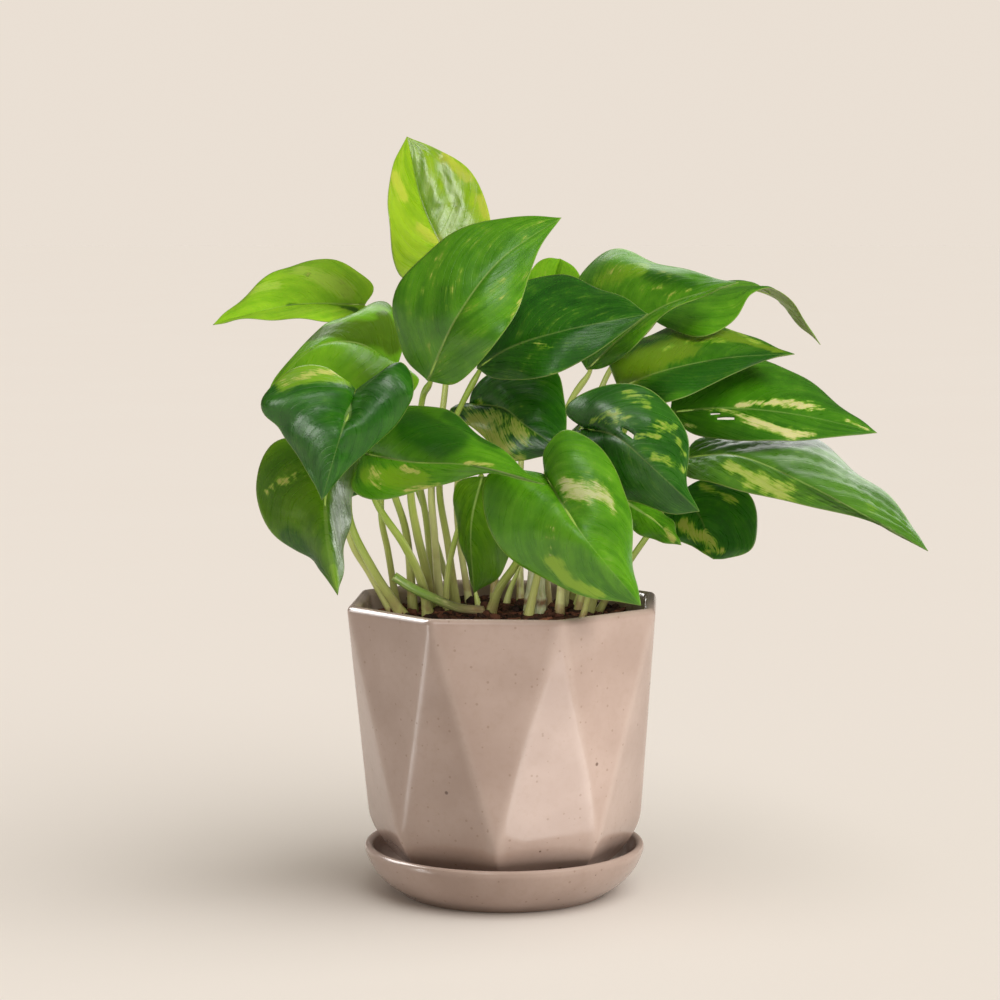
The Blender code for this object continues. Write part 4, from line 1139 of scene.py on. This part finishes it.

# Finish of each leaf: its green, how much it is quilted (relief) and flecked, and its markings. A
# marking is a stroke between two (along, across) spots of the blade, with a half-width in
# millimetres and then a strength. A hole has no strength, and a fold has a rise in millimetres.
# The strokes that pull a blade towards a deeper green are painted shade, in the leaf's own
# shade colour where it has one, and the lime strokes are partly variegation and partly painted
# light.
LOOKS = {
    "crown": {"green": "yellow", "lime_and_painted_light_tint": (0.46, 0.57, 0.05), "relief": 0.8, "veins": 7,
        "flecks": 0.3, "rib": 0.3,
        "lime": [(0.75, -0.82, 0.62, -0.52, 2.2, 1.0), (0.41, -0.24, 0.29, -0.04, 1.8, 1.0),
            (0.78, 0.85, 0.61, 0.86, 1.8, 1.0), (0.5, 0.93, 0.41, 0.94, 1.5, 0.9)],
        "folds": [(0.8, 0.39, 0.54, 0.28, 2.2, 1.0), (0.78, 0.62, 0.49, 0.45, 2.2, -0.8),
            (0.72, 0.7, 0.47, 0.65, 2.2, 0.9)]},
    "front_tall": {"green": "mid", "relief": 0.25, "flecks": 0.8,
        "deep_green_and_painted_shade": [(0.3, -0.12, 0.45, -0.34, 4.9, 0.5)],
        "patches": [(0.48, 0.96, 0.6, 1.0, 0.8, 0.72)]},
    "far_left": {"green": "lime", "lime_and_painted_light_tint": (0.38, 0.62, 0.06), "flecks": 0.4,
        "deep_green_and_painted_shade": [(0.53, -0.02, 0.13, -0.48, 1.5, 1.0)],
        "lime": [(0.75, 0.96, 0.6, 0.55, 2.2, 1.0), (0.46, 0.76, 0.2, 0.32, 3.3, 1.0)],
        "patches": [(0.44, 0.6, 0.4, 0.53, 0.6, 0.85)]},
    "left_arch": {"green": "bright", "relief": 0.45, "flecks": 0.2,
        # Its painted shade is a darker olive
        "painted_shade_colour": (0.06, 0.12, 0.004),
        "deep_green_and_painted_shade": [(0.62, 0.75, 0.4, 0.2, 4.0, 1.2), (0.4, 0.2, 0.21, 0.44, 4.7, 1.2),
            (0.28, 0.58, 0.15, 0.4, 3.2, 1.1)],
        "folds": [(0.56, 0.99, 0.28, 0.58, 4.3, 1.2)]},
    "left_front": {"green": "dark", "relief": 0.25, "flecks": 0.05, "rib": 0.3,
        "lime": [(0.39, 0.89, 0.25, 0.81, 3.1, 1.1), (0.25, 0.81, 0.09, 0.75, 3.1, 1.1)],
        "patches": [(0.4, 0.88, 0.27, 0.78, 1.4, 0.85), (0.23, 0.81, 0.09, 1.0, 1.2, 0.81)],
        "holes": [(0.385, 0.345, 0.43, 0.345, 0.7)],
        "folds": [(0.51, 0.87, 0.22, 0.2, 3.5, 2.4), (0.62, 1.0, 0.38, 0.08, 3.1, -1.6),
            (0.28, -0.77, 0.39, -0.93, 3.1, 2.0), (0.29, -0.19, 0.69, -0.33, 2.8, -1.2)]},
    "left_low": {"green": "olive", "relief": 0.4, "flecks": 0.1, "rib": 0.3,
        "deep_green_and_painted_shade": [(0.7, 0.8, 0.87, 1.0, 4.3, 0.9)],
        "lime": [(0.85, -0.09, 0.94, -0.39, 1.4, 1.0)],
        "patches": [(0.49, 0.85, 0.42, 0.62, 0.9, 0.95), (0.43, 0.59, 0.35, 0.41, 0.9, 0.9)],
        "folds": [(0.51, 0.03, 0.8, 0.11, 3.2, 1.2), (0.59, 0.43, 0.83, 0.96, 2.5, -0.9)]},
    "mid_left": {"green": "mid", "flecks": 0.05,
        "deep_green_and_painted_shade": [(0.34, -0.55, 0.52, -0.42, 7.0, 1.1), (0.46, -0.92, 0.72, -1.0, 3.5, 0.8)],
        "lime": [(0.19, 0.54, 0.47, 0.62, 3.5, 0.9)],
        "patches": [(0.19, 0.42, 0.28, 0.67, 1.7, 0.81), (0.32, 0.18, 0.43, 0.34, 1.1, 0.72),
            (0.42, 0.83, 0.57, 1.0, 0.9, 0.77), (0.65, -0.03, 0.77, -0.18, 0.8, 0.72)],
        "folds": [(0.28, -0.47, 0.56, -0.47, 4.9, 1.2)]},
    "centre_back": {"green": "dark", "relief": 0.4, "flecks": 0.2,
        "deep_green_and_painted_shade": [(0.61, 0.08, 0.86, 0.59, 3.3, 1.1), (0.3, 0.14, 0.51, 0.53, 1.8, 0.9)],
        "patches": [(0.32, 0.75, 0.61, 0.83, 4.7, 0.8), (0.33, 0.34, 0.68, 0.33, 2.9, 0.74),
            (0.62, 0.93, 0.72, 0.94, 1.8, 0.7), (0.2, 0.5, 0.15, -0.01, 1.8, 0.77)],
        "folds": [(0.31, -0.39, 0.64, -0.46, 3.6, 1.6)]},
    "centre_dark": {"green": "dark", "relief": 0.25, "flecks": 0.25, "rib": 0.35,
        "patches": [(0.43, 0.17, 0.52, 0.43, 0.6, 0.56), (0.42, -0.1, 0.48, -0.21, 0.5, 0.49)]},
    "behind_centre": {"green": "bright", "flecks": 0.3},
    "upper_right": {"green": "mid", "relief": 0.3, "flecks": 0.35,
        "deep_green_and_painted_shade": [(0.63, -0.53, 0.79, -0.33, 3.6, 0.7)],
        "lime": [(0.42, -0.67, 0.6, -0.65, 3.6, 0.7)],
        "patches": [(0.57, -0.26, 0.66, -0.32, 0.9, 0.68), (0.52, -0.26, 0.57, -0.28, 0.8, 0.6),
            (0.46, -0.69, 0.52, -0.64, 1.1, 0.56), (0.66, -0.13, 0.78, -0.18, 0.8, 0.52)],
        "folds": [(0.49, -0.77, 0.75, -0.45, 3.6, 1.2)]},
    "far_right_top": {"green": "mid", "relief": 0.4, "flecks": 0.2,
        "under_colour": (0.33, 0.3, 0.12)},
    # Its upper half is painted lit with lime strokes, and its lower half painted shade with deep
    # strokes
    "right_upper": {"green": "forest", "flecks": 0.1, "rib": 0.4, "lime_and_painted_light_tint": (0.15, 0.28, 0.01),
        "cream": (0.32, 0.48, 0.05),
        "deep_green_and_painted_shade": [(0.27, 0.74, 0.51, 0.55, 4.7, 1.2), (0.51, 0.55, 0.9, 1.0, 4.0, 1.2)],
        "lime": [(0.1, -0.28, 0.42, -0.32, 7.2, 1.2), (0.5, -0.5, 0.7, -0.56, 4.7, 1.2),
            (0.72, -0.55, 0.91, -0.43, 2.9, 1.1)],
        "patches": [(0.66, -1.0, 0.82, -0.61, 1.8, 1.0), (0.51, -0.4, 0.64, -0.35, 1.8, 0.95),
            (0.31, -0.31, 0.44, -0.43, 0.8, 0.8)]},
    "right_mid": {"green": "forest", "flecks": 0.1, "rib": 0.35, "cream": (0.6, 0.6, 0.26),
        "patches": [(0.37, -0.04, 0.47, -0.09, 0.7, 0.9), (0.47, -0.09, 0.57, -0.16, 1.2, 1.03),
            (0.57, -0.14, 0.68, -0.22, 1.8, 1.08), (0.68, -0.22, 0.75, -0.26, 0.9, 0.9),
            (0.24, 0.01, 0.34, 0.2, 0.7, 0.85), (0.34, 0.2, 0.42, 0.43, 1.2, 0.99),
            (0.42, 0.43, 0.51, 0.64, 2.4, 1.12), (0.5, 0.62, 0.58, 0.8, 2.4, 1.08),
            (0.59, 0.76, 0.69, 0.79, 1.1, 0.85), (0.21, 0.04, 0.24, 0.17, 0.6, 0.77),
            (0.1, 0.78, 0.16, 0.72, 0.8, 0.81), (0.85, -0.18, 0.95, -0.16, 0.6, 0.68)],
        "holes": [(0.28, 0.435, 0.33, 0.435, 0.8), (0.24, 0.26, 0.27, 0.26, 0.6),
            (0.45, -0.525, 0.47, -0.525, 0.7), (0.32, -0.525, 0.34, -0.525, 0.5)]},
    "right_round": {"green": "dark", "flecks": 0.1, "rib": 0.3, "cream": (0.3, 0.4, 0.06),
        "patches": [(0.16, -0.24, 0.27, -0.33, 1.0, 0.72), (0.27, -0.33, 0.36, -0.46, 1.0, 0.79),
            (0.28, -0.21, 0.42, -0.44, 0.8, 0.72), (0.38, -0.81, 0.48, -0.9, 1.0, 0.68),
            (0.42, -0.7, 0.5, -0.78, 0.8, 0.58), (0.49, -0.24, 0.59, -0.49, 1.0, 0.72),
            (0.54, -0.53, 0.64, -0.86, 1.3, 0.68), (0.62, -0.18, 0.71, -0.38, 1.0, 0.72),
            (0.69, -0.3, 0.81, -0.78, 1.0, 0.65), (0.67, -0.73, 0.75, -0.82, 0.9, 0.5)],
        "holes": [(0.39, -0.185, 0.47, -0.185, 0.6), (0.47, -0.26, 0.49, -0.26, 0.5)],
        "folds": [(0.27, -0.57, 0.52, -0.58, 4.2, 1.2), (0.32, 0.34, 0.59, 0.24, 3.1, -1.0)]},
    "right_long": {"green": "grey", "relief": 1.0, "veins": 8, "flecks": 0.3,
        "cream": (0.42, 0.52, 0.12),
        "patches": [(0.27, 0.44, 0.37, 0.57, 2.1, 0.92), (0.37, 0.64, 0.49, 0.79, 3.0, 0.96)]},
    "right_low": {"green": "dark", "flecks": 0.1, "rib": 0.3, "cream": (0.42, 0.45, 0.09),
        "patches": [(0.19, -0.62, 0.45, -0.65, 1.2, 0.8), (0.51, 0.53, 0.82, -0.1, 2.0, 0.96),
            (0.89, 0.78, 0.87, -0.5, 1.1, 0.64)]},
    "low_small": {"green": "mid", "flecks": 0.1,
        "patches": [(0.72, -0.11, 0.88, 0.34, 0.9, 0.9)]},
    "front_right": {"green": "mid", "lime_and_painted_light_tint": (0.28, 0.48, 0.03), "flecks": 0.1, "rib": 0.3,
        "cream": (0.5, 0.55, 0.26),
        "lime": [(0.61, 0.63, 0.71, 0.8, 2.4, 1.1), (0.71, 0.8, 0.84, 0.78, 1.7, 0.9)],
        "patches": [(0.32, -0.23, 0.47, -0.57, 3.8, 0.95), (0.47, -0.57, 0.52, -0.66, 2.1, 0.84),
            (0.55, -0.64, 0.6, -0.69, 1.0, 0.68), (0.43, 0.25, 0.58, 0.57, 0.8, 0.68)],
        "folds": [(0.28, -0.62, 0.46, -0.78, 4.8, 1.6), (0.41, -0.1, 0.68, -0.24, 3.5, -1.2)]},
    "centre_low": {"green": "olive", "flecks": 0.2},
    "back_top": {"green": "mid", "flecks": 0.4,
        "patches": [(0.3, 0.3, 0.55, 0.7, 3.0, 1.0)]},
    "back_left": {"green": "mid", "flecks": 0.4,
        "patches": [(0.35, -0.2, 0.6, -0.75, 3.2, 1.1), (0.5, 0.3, 0.62, 0.6, 2.2, 0.9)]},
    "back_right": {"green": "mid", "flecks": 0.4,
        "patches": [(0.25, 0.25, 0.5, 0.75, 4.0, 1.15), (0.55, -0.2, 0.7, -0.6, 2.4, 0.95)]},
    "back_low": {"green": "dark", "flecks": 0.4,
        "patches": [(0.4, 0.2, 0.6, 0.7, 2.6, 1.0)]},
    "back_low_left": {"green": "dark", "flecks": 0.4,
        "patches": [(0.3, -0.15, 0.45, -0.6, 3.0, 1.05)]},
}


# ---------------------------------------------------------------- studio

CAMERA_LENS = 98.17
CAMERA_PLACE = (-0.0016, -0.9925, 0.243)
CAMERA_DIP = 0.099             # radians below the horizontal
FLOOR_RADIUS = 40.0
BACKDROP = (0.822, 0.741, 0.656)
SKY = (1.0, 0.89, 0.76)
SKY_STRENGTH = 0.30
SKY_GLOSS = 0.12               # strength of the sky in reflections
SUN_TURN = 58                  # degrees round to the right from the front

# Leaves that mirror the panel behind the plant
GLOSSY_LEAVES = ("left_front", "centre_back", "upper_right", "right_round", "right_long",
                 "front_right", "left_arch", "right_low", "back_top", "back_left", "back_right",
                 "back_low")

# Softboxes: place, what they aim at, size, watts and what they light, which is named leaves or a
# group. A "gloss" one makes highlights only, and a "clear" one is shaded only by what it lights.
PLANT = (0.0, 0.0, 0.15)
POT = (0.0, 0.0, 0.08)
SOFTBOXES = {
    "back_panel": ((0.0, 0.89, 1.10), PLANT, (1.0, 0.7), 6.0, GLOSSY_LEAVES, ""),
    "left_panel": ((-0.70, -0.85, 0.76), PLANT, (0.6, 0.6), 8.0,
        ("crown", "left_front", "centre_back", "right_round"), "gloss"),
    "crown_panel": ((-0.70, -0.85, 0.76), PLANT, (0.6, 0.6), 7.0, ("crown",), "gloss"),
    "front_panel": ((0.20, -0.97, 1.07), PLANT, (0.45, 0.45), 3.0,
        ("centre_dark", "front_right", "right_round", "left_front", "front_tall"), "gloss"),
    "right_back": ((1.15, 0.60, 0.33), PLANT, (0.5, 0.6), 2.0, "growth", ""),
    "window": ((0.40, 1.30, 0.75), (0.10, 0.0, 0.15), (1.5, 0.9), 10.0, ("right_long",), "gloss"),
    "low_glint": ((1.00, 0.62, 0.20), (-0.06, -0.03, 0.14), (0.6, 0.7), 8.0, ("left_low",),
        "gloss clear"),
    "pot_back": ((-0.35, 0.5, 1.0), POT, (0.5, 0.4), 4.0, "pottery", ""),
    "pot_left": ((-0.85, 0.20, 0.40), POT, (0.25, 0.5), 2.4, "pottery", ""),
    "pot_rim": ((-0.77, 0.37, 0.71), POT, (0.50, 0.50), 11.0, "pottery", "gloss clear"),
    "pot_low": ((-0.90, -0.35, -0.15), POT, (0.12, 0.5), 2.6, "pottery", "gloss clear"),
    "pot_front": ((-0.35, -1.1, 0.95), POT, (0.35, 0.35), 2.0, "pottery", "gloss"),
    "bounce": ((0.085, -0.125, 0.012), (0.085, -0.125, 0.5), (0.13, 0.13), 0.11, "pot", ""),
    "stalk_fill": ((-0.25, -0.95, 0.30), PLANT, (0.6, 0.4), 6.5, "stalks", "clear"),
}


def make_camera():
    lens = bpy.data.cameras.new("camera")
    lens.lens = CAMERA_LENS
    lens.sensor_width = 36.0
    lens.clip_start = 0.05
    item = bpy.data.objects.new("camera", lens)
    item.location = CAMERA_PLACE
    item.rotation_euler = (math.pi / 2 - CAMERA_DIP, 0.0, 0.0)
    bpy.context.scene.collection.objects.link(item)
    bpy.context.scene.camera = item


def make_floor():
    """A plain pale disc, wide enough to meet the backdrop unseen."""
    look = Look("floor_pale")
    grain = look.noise(look.place(), 3.0, 2.0)
    colour = look.mix(grain, (0.870, 0.829, 0.790), (0.880, 0.845, 0.809))
    material = look.finish(colour, 0.9, Specular_IOR_Level=0.1)
    count = 96
    verts = [(0.0, 0.0, 0.0)]
    for k in range(count):
        turn = 2 * math.pi * k / count
        verts.append((FLOOR_RADIUS * math.cos(turn), FLOOR_RADIUS * math.sin(turn), 0.0))
    faces = [(0, 1 + k, 1 + (k + 1) % count) for k in range(count)]
    mesh = bpy.data.meshes.new("floor")
    mesh.from_pydata(verts, [], faces)
    mesh.materials.append(material)
    floor = bpy.data.objects.new("floor", mesh)
    bpy.context.scene.collection.objects.link(floor)
    floor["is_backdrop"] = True
    return floor


def group(name, pieces):
    """A collection that isn't in the scene, for light linking."""
    made = bpy.data.collections.new(name)
    for piece in pieces:
        made.objects.link(piece)
    return made


def add_light(name, lamp, turn, pieces):
    """Put a lamp, facing as the quaternion says, where it lights only the given pieces."""
    item = bpy.data.objects.new(name, lamp)
    item.rotation_euler = turn.to_euler()
    bpy.context.scene.collection.objects.link(item)
    item.light_linking.receiver_collection = group(name + "_lit", pieces)
    return item


def add_sun(name, energy, height, angle, pieces):
    """A soft sun from the front right; highlights are left to the softboxes."""
    lamp = bpy.data.lights.new(name, "SUN")
    lamp.energy = energy
    lamp.angle = math.radians(angle)
    lamp.color = (1.0, 0.965, 0.92)
    turn = math.radians(SUN_TURN)
    toward = Vector((math.sin(turn), -math.cos(turn), math.tan(math.radians(height))))
    item = add_light(name, lamp, toward.to_track_quat("Z", "Y"), pieces)
    item.visible_glossy = False


def add_softbox(name, place, aim, size, watts, pieces, manner):
    lamp = bpy.data.lights.new(name, "AREA")
    lamp.shape = "RECTANGLE"
    lamp.size, lamp.size_y = size
    lamp.energy = watts
    lamp.color = (1.0, 0.99, 0.98)
    turn = (Vector(aim) - Vector(place)).to_track_quat("-Z", "Y")
    item = add_light(name, lamp, turn, pieces)
    item.location = place
    item.visible_camera = False
    item.visible_diffuse = "gloss" not in manner
    if "clear" in manner:
        item.light_linking.blocker_collection = group(name + "_blocked", pieces)


def make_sky():
    """Warm light from all round, dimmer in reflections, behind a backdrop of the floor's colour."""
    world = bpy.data.worlds.new("studio")
    bpy.context.scene.world = world
    world.use_nodes = True
    tree = world.node_tree
    seen = tree.nodes.new("ShaderNodeBackground")
    seen.inputs["Color"].default_value = (*BACKDROP, 1.0)
    around = tree.nodes["Background"]
    around.inputs["Color"].default_value = (*SKY, 1.0)
    mixer = tree.nodes.new("ShaderNodeMixShader")
    rays = tree.nodes.new("ShaderNodeLightPath")
    dim = tree.nodes.new("ShaderNodeMapRange")
    dim.inputs["To Min"].default_value = SKY_STRENGTH
    dim.inputs["To Max"].default_value = SKY_GLOSS
    tree.links.new(rays.outputs["Is Glossy Ray"], dim.inputs["Value"])
    tree.links.new(dim.outputs["Result"], around.inputs["Strength"])
    tree.links.new(rays.outputs["Is Camera Ray"], mixer.inputs[0])
    tree.links.new(around.outputs[0], mixer.inputs[1])
    tree.links.new(seen.outputs[0], mixer.inputs[2])
    tree.links.new(mixer.outputs[0], tree.nodes["World Output"].inputs["Surface"])


def make_studio(floor):
    make_sky()
    plant = list(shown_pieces())
    add_sun("key", 3.0, 44, 34, plant)
    add_sun("floor_key", 2.6, 55, 80, [floor])
    groups = {"pottery": [piece for piece in plant if piece.name.startswith("glazed")]}
    groups["pot"] = groups["pottery"][:1]
    groups["growth"] = [piece for piece in plant if piece not in groups["pottery"]]
    groups["stalks"] = [piece for piece in groups["growth"] if not piece.name.startswith("blade_")]
    for name, (place, aim, size, watts, lit, manner) in SOFTBOXES.items():
        if lit not in groups:
            blades = ["blade_" + leaf for leaf in lit]
            groups[lit] = [piece for piece in plant if piece.name in blades]
        add_softbox(name, place, aim, size, watts, groups[lit], manner)
    bpy.context.scene.view_settings.view_transform = "Standard"


# ---------------------------------------------------------------- build

def build():
    make_camera()
    floor = make_floor()
    glaze = glaze_look()
    make_pot(glaze)
    make_saucer(glaze)
    soil = soil_look()
    make_soil(soil)
    make_crumbs(soil)
    make_fibres(soil)
    stalks = {kind: stalk_look(kind) for kind in STALK_COLOURS}
    for name in LEAVES:
        sheet, normals = make_leaf(name, leaf_look(name))
        kind = "pale" if name in PALE_STALKS else "green"
        make_stalk(name, stalks[kind], sheet, normals)
    make_cuttings({"cutting": cutting_look(), "stub": stalks["old"], "sheath": stalks["pale"]})
    make_studio(floor)


build()
